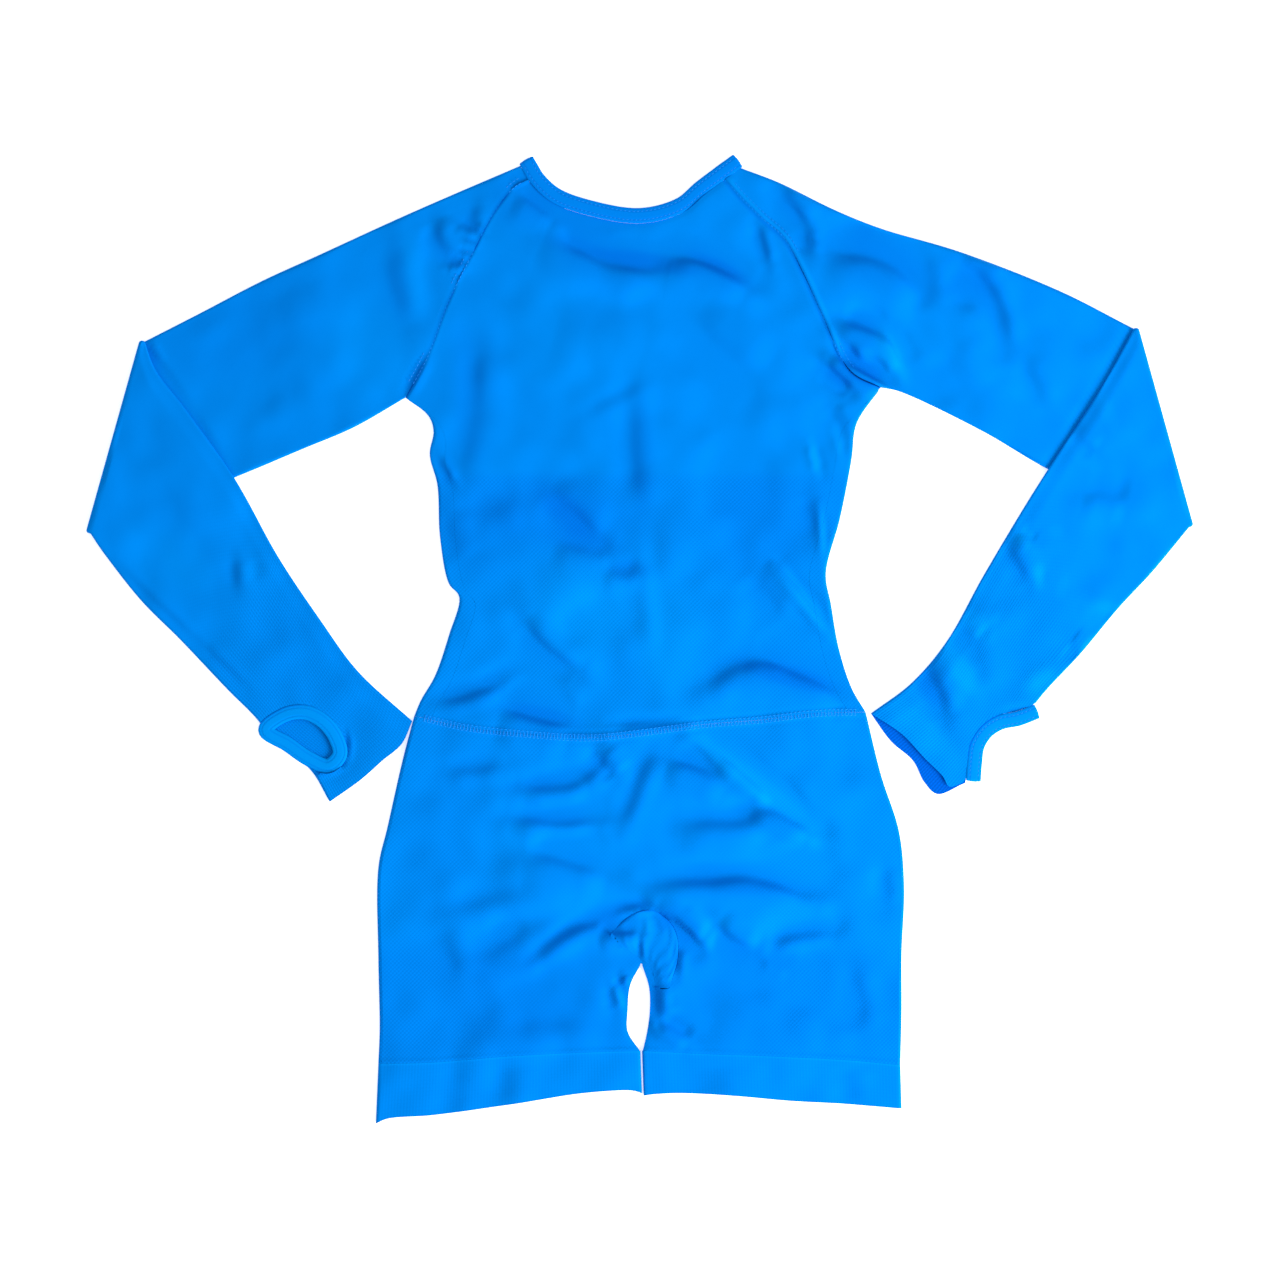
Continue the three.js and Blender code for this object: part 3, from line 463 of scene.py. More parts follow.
def rightOf(along):
    return np.stack([along[..., 1], -along[..., 0]], -1)


def beside(curve, distance, closed=False):
    return lambda t: curve(np.asarray(t, float)) + distance * rightOf(tangentAt(curve, t, closed))


def nearestShare(curve, point):
    t = np.linspace(0, 1, 401)
    return t[np.argmin(np.linalg.norm(curve(t) - np.array(point, float), axis=-1))]


def patch(near, far, first, last):
    # Coons patch: blend of both pairs of edges less the blend of the four corners
    corners = [near(0.0), near(1.0), far(0.0), far(1.0)]

    def surface(across, along):
        across, along = np.broadcast_arrays(np.asarray(across, float), np.asarray(along, float))
        u, v = across[..., None], along[..., None]
        edges = near(across) * (1 - v) + far(across) * v + first(along) * (1 - u) + last(along) * u
        blend = corners[0] * (1 - u) * (1 - v) + corners[1] * u * (1 - v)
        return edges - blend - corners[2] * (1 - u) * v - corners[3] * u * v
    return surface


def widthAt(surface, along):
    along = np.asarray(along, float)
    return np.linalg.norm(surface(np.ones_like(along), along) - surface(np.zeros_like(along), along), axis=-1)


def distanceTo(line, points):
    # shortest distance from each point to a run of straight pieces, and its side of the run
    start, end = line[:-1], line[1:]
    run = end - start
    flat = points.reshape(-1, 2)
    offset = flat[:, None, :] - start[None]
    share = np.clip((offset * run).sum(-1) / (run * run).sum(-1), 0, 1)
    gap = offset - share[..., None] * run
    squared = (gap * gap).sum(-1)
    best = squared.argmin(1)
    picked = np.arange(len(flat))
    cross = run[best, 0] * offset[picked, best, 1] - run[best, 1] * offset[picked, best, 0]
    return (np.sqrt(squared[picked, best]) * np.where(cross < 0, 1, -1)).reshape(points.shape[:-1])


windowSide = (0.84, -0.54)  # the way to the light, on the floor


def alongCrease(start, end, bow, width, points):
    # distance from the bowed line in half widths, to its right, and how strong the crease is there
    width = width * cloth["creaseWidth"]
    x, y = points[..., 0], points[..., 1]
    run = np.subtract(end, start).astype(float)
    length = math.hypot(*run)
    along = ((x - start[0]) * run[0] + (y - start[1]) * run[1]) / length**2
    share = np.clip(along, 0, 1)
    right = ((x - start[0]) * run[1] - (y - start[1]) * run[0]) / length
    off = (right - bow * 4 * share * (1 - share)) / width
    past = (along - share) * length / width
    middle = smoothstep(np.minimum(share, 1 - share), 0, cloth["creaseTaper"])
    return off, lerp(cloth["creaseEnd"], 1, middle) * np.exp(-(past**2))


def creaseHeight(creases, points):
    # a step: steepness times distance, faded by a bell, so a low trough runs beside a low ridge
    height = np.zeros(points.shape[:-1])
    for start, end, bow, width, steep in creases:
        off, strength = alongCrease(start, end, bow, width, points)
        facing = (end[1] - start[1]) * windowSide[0] - (end[0] - start[0]) * windowSide[1]
        facing = facing / math.hypot(end[0] - start[0], end[1] - start[1])
        depth = cloth["creaseDepth"] * steep / math.copysign(max(abs(facing), cloth["leastFacing"]), facing)
        height += depth * cloth["creaseWidth"] * width * strength * off * np.exp(-(off**2))
    return height


def settled(height):
    # no lower than the layer beneath lies and no higher than a soft ridge stands
    low, high = cloth["deepestTrough"], cloth["tallestRidge"]
    return np.where(height < 0, low * np.tanh(height / low), high * np.tanh(height / high))


def paintedCreaseShading(creases, points):
    # painted shade on folds that turn from the light, and a painted highlight on folds that face it
    shadeAndTone = np.ones(points.shape[:-1])
    for start, end, bow, width, steep in creases:
        off, strength = alongCrease(start, end, bow, width, points)
        shadeAndTone -= cloth["creaseShade"] * steep * strength * np.exp(-((off / cloth["shadeSpread"]) ** 2))
    return np.clip(shadeAndTone, *cloth["paintedShadeRange"])


def poolShadeAndTone(pools, points):
    # a flat-topped spot: one plus the change times exp of minus the fourth power of the radius
    shadeAndTone = np.ones(points.shape[:-1])
    for x, y, length, width, turn, change in pools:
        run = np.array([math.cos(math.radians(turn)), math.sin(math.radians(turn))])
        offset = points - np.array([x, y])
        radius = ((offset @ run) / length) ** 2 + ((offset @ rightOf(run)) / width) ** 2
        shadeAndTone += change * np.exp(-(radius**2))
    return shadeAndTone


def waveHeight(points):
    # a sine along each direction, its line bent by a longer sine across it
    height = np.zeros(points.shape[:-1])
    for length, angle, start, full in softWaves:
        run = np.array([math.cos(math.radians(angle)), math.sin(math.radians(angle))])
        bend = 0.9 * np.sin(2 * np.pi * (points @ rightOf(run)) / (1.7 * length))
        height += full * np.sin(2 * np.pi * (points @ run) / length + start + bend)
    return height


def underHeight(points, top):
    # bells across the creases below, as high as the layer above leaves room for
    height = np.zeros(points.shape[:-1])
    for start, end, bow, width, full in underCreases:
        off, strength = alongCrease(start, end, bow, width, points)
        height += full * strength * np.exp(-(off**2))
    return np.minimum(height, np.maximum(top - 2 * wall - 0.2, 0))


# Cloth as a closed wall between two skins on one grid

def gridPiece(name, outer, inner, uv, ring=False, covers=None, marks=None):
    rows, columns = outer.shape[:2]
    count = rows * columns
    row, column = np.meshgrid(np.arange(rows - 1), np.arange(columns if ring else columns - 1), indexing="ij")
    if covers is not None:
        row, column = row[covers], column[covers]
    row, column = row.ravel(), column.ravel()
    after = (column + 1) % columns
    corners = [row * columns + column, row * columns + after, (row + 1) * columns + after]
    quads = np.stack([*corners, (row + 1) * columns + column], 1)
    quadUv = np.stack([uv[row, column], uv[row, column + 1], uv[row + 1, column + 1], uv[row + 1, column]], 1)
    start, end = quads.ravel(), np.roll(quads, -1, 1).ravel()
    startUv, endUv = quadUv.reshape(-1, 2), np.roll(quadUv, -1, 1).reshape(-1, 2)
    key = np.minimum(start, end) * count + np.maximum(start, end)
    firstAt, uses = np.unique(key, return_index=True, return_counts=True)[1:]
    rim = firstAt[uses == 1]
    rims = np.stack([end[rim], start[rim], start[rim] + count, end[rim] + count], 1)
    rimUv = np.stack([endUv[rim], startUv[rim], startUv[rim], endUv[rim]], 1)
    faces = np.vstack([quads, quads[:, ::-1] + count, rims])
    faceUv = np.vstack([quadUv, quadUv[:, ::-1], rimUv])
    points = np.vstack([outer.reshape(-1, 3), inner.reshape(-1, 3)])
    used, faces = np.unique(faces, return_inverse=True)
    faces = faces.reshape(-1, 4)
    points = points[used]
    a, b, c, d = (points[faces[:, k]] for k in range(4))
    volume = (a * np.cross(b, c)).sum() + (a * np.cross(c, d)).sum()
    if volume < 0:
        faces, faceUv = faces[:, ::-1], faceUv[:, ::-1]
    plain = np.zeros((rows, columns))
    marks = {"mesh": plain, "rib": plain, "shadeAndTone": plain + 1, **(marks or {})}
    both = (2, rows, columns)
    values = {mark: np.broadcast_to(value, both).reshape(-1)[used] for mark, value in marks.items()}
    return meshPiece(name, points, faces, faceUv, values)


def meshPiece(name, points, faces, faceUv=None, marks=None, sharp=50):
    mesh = bpy.data.meshes.new(name)
    sides = faces.shape[1]
    mesh.vertices.add(len(points))
    mesh.vertices.foreach_set("co", (points * mm).astype(np.float32).ravel())
    mesh.loops.add(faces.size)
    mesh.loops.foreach_set("vertex_index", faces.astype(np.int32).ravel())
    mesh.polygons.add(len(faces))
    mesh.polygons.foreach_set("loop_start", np.arange(0, faces.size, sides, dtype=np.int32))
    mesh.polygons.foreach_set("use_smooth", np.ones(len(faces), bool))
    mesh.update(calc_edges=True)
    if faceUv is not None:
        layer = mesh.uv_layers.new(name="cloth")
        layer.data.foreach_set("uv", (faceUv / uvUnit).astype(np.float32).ravel())
    for mark, value in (marks or {}).items():
        attribute = mesh.attributes.new(mark, "FLOAT", "POINT")
        attribute.data.foreach_set("value", value.astype(np.float32))
    mesh.set_sharp_from_angle(angle=math.radians(sharp))
    mesh.validate()
    piece = bpy.data.objects.new(name, mesh)
    bpy.context.scene.collection.objects.link(piece)
    return piece


uvUnit = 100  # millimetres of cloth for one step of the map


def ringUv(outer, scaleRow):
    # across from the ring's lengths at one row, along from the mean length of its columns
    closed = np.concatenate([outer, outer[:, :1]], 1)
    across = np.linalg.norm(np.diff(closed[scaleRow], axis=0), axis=-1)
    along = np.linalg.norm(np.diff(closed, axis=0), axis=-1).mean(1)
    u = np.concatenate([[0], np.cumsum(across)])
    v = np.concatenate([[0], np.cumsum(along)])
    return np.stack(np.broadcast_arrays(u[None, :], v[:, None]), -1)


def withHeight(points, height):
    return np.concatenate([points, np.broadcast_to(height, points.shape[:-1])[..., None]], -1)


def rollAt(angle, top, edge, below=0.0):
    # side of a flattened tube: a quarter ellipse from the top to its edge and another to the layer below
    radius = np.where(angle >= 0, upperRoll, underRoll)
    reach = np.where(angle >= 0, top - edge, edge - below)
    turn = np.sin(angle)
    outer = (radius * (1 - np.cos(angle)), edge + reach * turn)
    inner = (radius - (radius - wall) * np.cos(angle), edge + (reach - wall) * turn)
    return outer, inner


def upperLayerAt(inset, top, edge):
    angle = np.arccos(np.clip(1 - inset / upperRoll, 0, 1))
    outer, inner = rollAt(angle, top, edge)
    rolls = inset < upperRoll
    return (
        (np.where(rolls, outer[0], inset), np.where(rolls, outer[1], top)),
        (np.where(rolls, inner[0], inset), np.where(rolls, inner[1], top - wall)),
    )


def placed(surface, insetAndHeight, width, along):
    inset, height = insetAndHeight
    inset, width, along, height = np.broadcast_arrays(inset, width, along, height)
    return withHeight(surface(inset / width, along), height)


# Seam curves of the body
waist = through(waistSeam)
bandWidth = 12.0
neckCurve = through(neckLine)
frontNeckCurve = through(frontNeckLine)
neckSeam = beside(neckCurve, bandWidth / 2)
frontNeckSeam = beside(frontNeckCurve, bandWidth / 2)
neckMiddle = nearestShare(neckSeam, neckPoints["middle"])
frontNeckMiddle = nearestShare(frontNeckSeam, neckPoints["frontMiddle"])
neckShare = {
    "left": nearestShare(neckSeam, neckPoints["left"]),
    "right": nearestShare(neckSeam, neckPoints["right"]),
    "leftFront": nearestShare(frontNeckSeam, neckPoints["leftFront"]),
    "rightFront": nearestShare(frontNeckSeam, neckPoints["rightFront"]),
}
raglan = {side: through([*raglanSeam[side], neckSeam(neckShare[side])]) for side in ("left", "right")}
for side in ("left", "right"):
    front = f"{side}Front"
    raglan[front] = through([raglanSeam[side][0], frontNeckSeam(neckShare[front])])

seamForm = {
    "raglan": {
        "left": {"height": 0.12, "place": -1.4, "groove": 0.2, "shade": 0.07, "shine": 0.02},
        "right": {"height": 1.1, "place": 1.7, "groove": 0.5, "shade": 0.16, "shine": 0.12},
    },
    "raglanWidth": 1.6,
    "waistHeight": 0.35,
    "waistGroove": 0.35,
    "neckGroove": 0.45,
    "waistBand": (1.8, 3.4),
    "waistGrooveAt": (4.6, 4.8),
    "waistGrooveWidth": 1.6,
    "neckGrooveWidth": 2.2,
    "weltHeight": 0.5,
    "weltWidth": 1.8,
    "weltAbove": 1.2,
}
shares = np.linspace(0, 1, 60)
raglanLines = {side: raglan[side](shares) for side in ("left", "right")}
waistLine = waist(shares)
neckSeamLine = neckSeam(shares)


def bell(distance, width):
    return np.exp(-((distance / width) ** 2))


def raglanRidge(side, points):
    # the seam allowance lifts a narrow ridge on the side that it lies to, with a groove on the other
    outward = distanceTo(raglanLines[side], points) * (1 if side == "right" else -1)
    form, width = seamForm["raglan"][side], seamForm["raglanWidth"]
    ridge = form["height"] * bell(outward - form["place"], width)
    return ridge - form["groove"] * bell(outward + form["place"], width)


def raglanShading(side, points):
    # painted shade on the groove side of the seam ridge, and a painted highlight beyond the ridge
    outward = distanceTo(raglanLines[side], points) * (1 if side == "right" else -1)
    form, width = seamForm["raglan"][side], seamForm["raglanWidth"]
    dark = form["shade"] * bell(outward + 0.8 * form["place"], width)
    return 1 - dark + form["shine"] * bell(outward - 1.4 * form["place"], width)


def bodySeams(points):
    # a flat raised band along the waist with a groove on both sides, a groove along the neck seam,
    # the raglan ridges, and a low ridge above each welt
    x, y = points[..., 0], points[..., 1]
    above = y - np.interp(x, waistLine[:, 0], waistLine[:, 1])
    height = seamForm["waistHeight"] * (1 - smoothstep(np.abs(above), *seamForm["waistBand"]))
    (over, beneath), width = seamForm["waistGrooveAt"], seamForm["waistGrooveWidth"]
    height -= seamForm["waistGroove"] * (bell(above - over, width) + 0.5 * bell(above + beneath, width))
    height -= seamForm["neckGroove"] * bell(distanceTo(neckSeamLine, points), seamForm["neckGrooveWidth"])
    for side in ("left", "right"):
        height += raglanRidge(side, points)
        onSide = x < 1 if side == "left" else x >= 1
        weltY = np.interp(x, *sortedLine(weltLine[side]))
        ridge = bell(y - weltY - seamForm["weltAbove"], seamForm["weltWidth"])
        height += np.where(onSide, seamForm["weltHeight"] * ridge, 0)
    return height


def sortedLine(rows):
    line = np.array(sorted(rows), float)
    return line[:, 0], line[:, 1]


shownCreases = [
    *backCreases, *shortsCreases, *weltCreases, *upperArmCreases["left"], *upperArmCreases["right"],
]


def bodyTop(points):
    folds = creaseHeight(shownCreases, points) + waveHeight(points)
    return restHeight + settled(folds + bodySeams(points))


# Body panels, each half from its side edge to the middle

def shareRows(start, end, count, dense=0.35):
    # shares from end to end, closer together near both ends
    share = np.linspace(0, 1, count)
    return lerp(start, end, share - dense * np.sin(2 * np.pi * share) / (2 * np.pi))


def joinHalves(left, right):
    return np.concatenate([left, right[:, ::-1]], 1)


def upperPanel(panel):
    # a skin on top from its seam inset to the middle, its edge rounded down where the seam is at the side
    along = shareRows(panel["margin"], 1 - panel["margin"], panel["rows"])[:, None]
    skins = {"outer": [], "inner": []}
    for side in ("left", "right"):
        surface = panel[side]["top"]
        width = widthAt(surface, along)
        start = panel["seamInset"](along) + cloth["seamGap"] / 2
        share = np.linspace(0, 1, panel["columns"])[None, :]
        near = np.minimum(share * panel["columns"] / panel["edgeColumns"], 1)
        even = np.maximum(share - panel["edgeColumns"] / panel["columns"], 0)
        even = even / even.max()
        reach = np.maximum(upperRoll - start, 0.5)
        inset = start + near * reach + even * (width - panel["middleInset"] - start - reach)
        spot = surface(inset / width, along)
        top = bodyTop(spot)
        if "sinks" in panel:
            top = lerp(top, wall + cloth["layerGap"] + wall, panel["sinks"](width - inset, along))
        outer, inner = upperLayerAt(inset, top, panel["edge"](along))
        skins["outer"].append(placed(surface, outer, width, along))
        skins["inner"].append(placed(surface, inner, width, along))
    outer, inner = joinHalves(*skins["outer"]), joinHalves(*skins["inner"])
    covers = np.ones((panel["rows"] - 1, outer.shape[1] - 1), bool)
    covers[:, panel["columns"] - 1] = panel["middleJoined"](along[1:, 0])
    return outer, inner, covers


def underPanel(panel):
    # from its seam on top over the strip, round the side and in below to the middle
    along = np.linspace(panel["margin"], 1 - panel["margin"], panel["underRows"])[:, None]
    wraps = panel["wraps"](along)
    skins = {"outer": [], "inner": []}
    strip, turn, under = panel["stripColumns"], panel["turnColumns"], panel["underColumns"]
    for side in ("left", "right"):
        top, below = panel[side]["top"], panel[side]["under"]
        width, belowWidth = widthAt(top, along), widthAt(below, along)
        seam = np.maximum(panel["seamInset"](along) - cloth["seamGap"] / 2, 0.02)
        edge = panel["edge"](along)
        share = np.linspace(0, 1, strip, endpoint=False)[None, :]
        stripInset = lerp(seam, np.minimum(seam, upperRoll), share)
        stripTop = bodyTop(top(stripInset / width, along))
        outerStrip, innerStrip = upperLayerAt(stripInset, stripTop, edge)
        startInset = np.minimum(seam, upperRoll)
        rollTop = bodyTop(top(startInset / width, along))
        startAngle = np.arccos(np.clip(1 - startInset / upperRoll, 0, 1))
        angle = lerp(startAngle, -np.pi / 2, np.linspace(0, 1, turn)[None, :])
        outerRoll, innerRoll = rollAt(angle, rollTop, edge)
        outer = [placed(top, outerStrip, width, along), placed(top, outerRoll, width, along)]
        inner = [placed(top, innerStrip, width, along), placed(top, innerRoll, width, along)]
        first = np.where(wraps, underRoll, cloth["seamGap"] / 2)
        atEdge = [placed(below, (first, height), belowWidth, along) for height in (0.0, wall)]
        outer[1][:, -1:] = np.where(wraps[..., None], outer[1][:, -1:], atEdge[0])
        inner[1][:, -1:] = np.where(wraps[..., None], inner[1][:, -1:], atEdge[1])
        share = np.linspace(0, 1, under + 1)[None, 1:]
        inset = lerp(first, belowWidth - panel["middleInset"], share)
        spot = below(inset / belowWidth, along)
        lifted = underHeight(spot, bodyTop(spot)) * smoothstep(inset - first, 0, 9)
        if "sinks" in panel:
            lifted = lifted * smoothstep(belowWidth - inset, 2, 14)
        outer.append(placed(below, (inset, lifted), belowWidth, along))
        inner.append(placed(below, (inset, wall + lifted), belowWidth, along))
        skins["outer"].append(np.concatenate(outer, 1))
        skins["inner"].append(np.concatenate(inner, 1))
    outer, inner = joinHalves(*skins["outer"]), joinHalves(*skins["inner"])
    half = strip + turn + under
    covers = np.ones((panel["underRows"] - 1, 2 * half - 1), bool)
    rowAlong = along[1:, 0]
    wide = (panel["seamInset"](along) > upperRoll + 0.3)[1:, 0]
    wrapped = wraps[1:, 0]
    for start, end, shown in ((0, strip, wide & wrapped), (strip, strip + turn - 1, wrapped)):
        covers[:, start:end] = shown[:, None]
        covers[:, 2 * half - 1 - end:2 * half - 1 - start] = shown[:, None]
    covers[:, half - 1] = panel["middleJoined"](rowAlong)
    return outer, inner, covers


bodiceUnderarm = 14 / 24
waistMiddle = waist(0.5)


def bodiceHalf(side, waistEnd):
    def half(raglanCurve, seam, raglanEnd, middleEnd):
        sides = chain(bodiceUnderarm, through(sideEdge[side]), raglanCurve)
        far = span(seam, raglanEnd, middleEnd)
        return patch(span(waist, waistEnd, 0.5), far, sides, straight(waistMiddle, seam(middleEnd)))
    front = f"{side}Front"
    return {
        "top": half(raglan[side], neckSeam, neckShare[side], neckMiddle),
        "under": half(raglan[front], frontNeckSeam, neckShare[front], frontNeckMiddle),
    }


bodice = {
    "left": bodiceHalf("left", 0),
    "right": bodiceHalf("right", 1),
    "rows": 236,
    "underRows": 150,
    "columns": 98,
    "edgeColumns": 9,
    "stripColumns": 6,
    "turnColumns": 14,
    "underColumns": 44,
    "margin": cloth["seamGap"] / 2 / 300,
    "middleInset": 0.4,
    "seamInset": lambda along: np.where(
        along < bodiceUnderarm, 13.0 * smoothstep(bodiceUnderarm - along, -0.01, 0.12) + 0.3, 0.0),
    "edge": lambda along: lerp(
        edgeHeight, restHeight, smoothstep(along, bodiceUnderarm, bodiceUnderarm + 0.06)),
    "wraps": lambda along: along <= bodiceUnderarm,
    "middleJoined": lambda along: along < 2,
}
crotchShare = 14 / 20


def shortsHalf(side, waistEnd):
    middle = chain(crotchShare, straight(waistMiddle, crotch), through(innerLeg[side]))
    both = patch(span(waist, waistEnd, 0.5), through(weltLine[side]), through(outerLeg[side]), middle)
    return {"top": both, "under": both}


def legSinks(fromMiddle, along):
    opening = smoothstep(along, crotchShare - 0.04, crotchShare + 0.04)
    shareIn = np.clip(fromMiddle / cloth["legRoll"], 0, 1)
    return opening * (1 - np.sqrt(1 - (1 - shareIn) ** 2))


shorts = {
    "left": shortsHalf("left", 0),
    "right": shortsHalf("right", 1),
    "rows": 150,
    "underRows": 100,
    "columns": 122,
    "edgeColumns": 9,
    "stripColumns": 2,
    "turnColumns": 12,
    "underColumns": 44,
    "margin": cloth["seamGap"] / 2 / 260,
    "middleInset": 0.6,
    "seamInset": lambda along: 2.5 + 0 * along,
    "edge": lambda along: edgeHeight + 0 * along,
    "wraps": lambda along: along < 2,
    "middleJoined": lambda along: along <= crotchShare + 0.001,
    "sinks": legSinks,
}


# Sleeves

def tubeColumns(topCount, underCount, turnCount):
    turn = np.linspace(np.pi / 2, -np.pi / 2, turnCount + 2)[1:-1]
    return {
        "layer": np.repeat([0, 1, 2, 3], [topCount, turnCount, underCount, turnCount])[None, :],
        "share": np.concatenate([
            np.linspace(0, 1, topCount), np.ones(turnCount),
            np.linspace(1, 0, underCount), np.zeros(turnCount),
        ])[None, :],
        "angle": np.concatenate([
            np.full(topCount, np.pi / 2), turn, np.full(underCount, -np.pi / 2), turn[::-1],
        ])[None, :],
    }


def tubeSection(columns, width, top, below=0.0):
    # where each column of the ring stands on a row: its share across and the height of both skins
    layer, share = columns["layer"], columns["share"]
    outer, inner = rollAt(columns["angle"], top, edgeHeight, below)
    flat = {0: upperRoll / width, 2: underRoll / width}
    skins = []
    for (inset, height), onTop, beneath in ((outer, top, below), (inner, top - wall, below + wall)):
        across = np.where(layer == 1, 1 - inset / width, inset / width)
        for code, edge in flat.items():
            across = np.where(layer == code, edge + share * (1 - 2 * edge), across)
        height = np.where(layer == 0, onTop, np.where(layer == 2, beneath, height))
        skins.append((across, np.broadcast_to(height, across.shape)))
    return skins


def edgeFade(across, width):
    # creases and ridges fade out towards both sides of a tube
    inset = np.minimum(across, 1 - across) * width
    return smoothstep(inset, -cloth["edgeFade"], cloth["edgeFade"])


def besideLine(start, end, points):
    # distance to the right of a straight run
    run = np.subtract(end, start) / np.linalg.norm(np.subtract(end, start))
    return (points[..., 0] - start[0]) * run[1] - (points[..., 1] - start[1]) * run[0]


def sleeveSkins(side):
    arm = arms[side]
    sign = arm["sign"]
    front = f"{side}Front"
    capNeckShare = 0.06

    def cap(seam, share, seamCurve):
        neckEnd = 0 if sign < 0 else 1
        return chain(capNeckShare, span(seam, neckEnd, share), span(seamCurve, 1, 0))

    capTop = cap(neckSeam, neckShare[side], raglan[side])
    capUnder = cap(frontNeckSeam, neckShare[front], raglan[front])
    underarm = through(arm["underarm"])
    elbow = through([arm["shoulder"][-1], arm["underarm"][-1]])
    upperTop = patch(capTop, elbow, through([capTop(0.0), *arm["shoulder"]]), underarm)
    upperUnder = patch(capUnder, elbow, through([capUnder(0.0), *arm["shoulder"]]), underarm)
    inside, outside = through(arm["inside"]), through(arm["outside"])
    foreShown = patch(elbow, through(arm["cuffTop"]), inside, outside)
    foreHidden = patch(elbow, through(arm["cuffUnder"]), inside, outside)
    outward = rightOf(tangentAt(elbow, 0.5))
    outward = outward * (1 if outward[0] * sign > 0 else -1)

    press = cloth["press"][side]
    forearmLift = restHeight - press + cloth["layerGap"]

    def lift(points):
        past = sign * besideLine(arm["underarm"][-3], arm["underarm"][-1], points)
        return forearmLift * (1 - smoothstep(past, *sleeveGrid["liftFade"]))

    def uncovered(points):
        past = sign * besideLine(arm["inside"][0], arm["inside"][3], points)
        return smoothstep(past, *sleeveGrid["bareFade"])

    columns = tubeColumns(*sleeveGrid["columns"])
    leans = (columns["layer"] == 0) | ((columns["layer"] % 2 == 1) & (columns["angle"] >= 0))
    leans = leans[..., None]

    start = cloth["seamGap"] / 2 / sleeveGrid["upperLength"]
    along = lerp(start, 1, np.linspace(0, 1, sleeveGrid["upperRows"]) ** 1.2)[:, None]
    width = widthAt(upperTop, along)
    across = tubeSection(columns, width, restHeight)[0][0]
    spot = upperTop(across, along)
    fades = edgeFade(across, width)
    bare = uncovered(spot)
    shows = (creaseHeight(shownCreases, spot) + waveHeight(spot)) * bare * fades
    shows = settled(shows + raglanRidge(side, spot)) - press * (1 - bare)
    beneath = underHeight(spot, restHeight + shows) * fades
    rows = []
    for across, height in tubeSection(columns, width, restHeight + shows, beneath):
        flat = np.where(leans, upperTop(across, along), upperUnder(across, along))
        rows.append([withHeight(flat, height)])

    angle = np.linspace(0, np.pi, sleeveGrid["foldRows"] + 2)[1:-1, None]
    top = restHeight - press * (1 + np.cos(angle)) / 2
    width = widthAt(upperTop, np.ones_like(angle))
    for skin, (across, height) in enumerate(tubeSection(columns, width, top)):
        flat = elbow(across)
        centre = (lift(flat) + restHeight) / 2
        radius = centre - height
        moved = flat + (radius * np.sin(angle) ** sleeveGrid["foldSquareness"])[..., None] * outward
        rows[skin].append(withHeight(moved, centre - radius * np.cos(angle)))

    along = np.linspace(0, 1, sleeveGrid["foreRows"])[:, None]
    width = widthAt(foreShown, along)
    across = tubeSection(columns, width, restHeight)[0][0]
    spot = foreShown(across, along)
    fades = edgeFade(across, width)
    beneath = underHeight(spot, restHeight) * fades * (1 - lift(spot) / forearmLift)
    shows = settled(creaseHeight(forearmCreases[side], spot) + waveHeight(spot)) * fades
    section = tubeSection(columns, width, restHeight - beneath, -shows)
    for skin, (across, height) in enumerate(section):
        fade = smoothstep(across * width, upperRoll, sleeveGrid["thinTo"])
        thin = 1 - sleeveGrid["insideThin"] * (1 - fade)
        flat = np.where(leans, foreHidden(across, along), foreShown(across, along))
        rows[skin].append(withHeight(flat, lift(flat) + (restHeight - height) * thin))
    outer, inner = (np.concatenate(skin, 0) for skin in rows)
    spot = outer[..., :2]
    upper = np.arange(outer.shape[0])[:, None] < sleeveGrid["upperRows"]
    # painted shade and painted highlights from the creases, patches and raglan seam, on the upper arm and the
    # forearm
    shade = paintedCreaseShading(shownCreases, spot) * poolShadeAndTone(bodyShadeAndStretchPools, spot) * raglanShading(side, spot)
    foreShade = paintedCreaseShading(forearmCreases[side], spot) * poolShadeAndTone(forearmShadeAndStretchPools[side], spot)
    shadeAndTone = np.where(columns["layer"] == 0, np.where(upper, shade, 1), np.where(upper, 1, foreShade))
    return outer, inner, columns, shadeAndTone


sleeveGrid = {
    "columns": (66, 66, 9),
    "upperRows": 100,
    "foldRows": 13,
    "foreRows": 130,
    "foldSquareness": 0.55,
    "insideThin": 0.28,
    "insideShade": {"left": 0.95, "right": 0.5},
    "thinTo": 16,
    "liftFade": (-2, 38),
    "bareFade": (0, 6),
    "upperLength": 230,
    "insideFrom": (0.6, 0.75),
    "meshShare": 0.35,
    "meshFrom": (0.2, 0.5),
    "ribFrom": (0.42, 0.56),
    "thumbReach": 20,
    "thumbCorner": [330, -140],
}
foreStart = sleeveGrid["upperRows"] + sleeveGrid["foldRows"]


def insideOutline(outline, points):
    # even-odd rule, one edge of the outline at a time
    x, y = points[..., 0], points[..., 1]
    inside = np.zeros(x.shape, bool)
    for (x1, y1), (x2, y2) in zip(outline, np.roll(outline, -1, 0)):
        crosses = (y1 > y) != (y2 > y)
        if crosses.any():
            inside ^= crosses & (x < (x2 - x1) * (y - y1) / (y2 - y1 + 1e-12) + x1)
    return inside


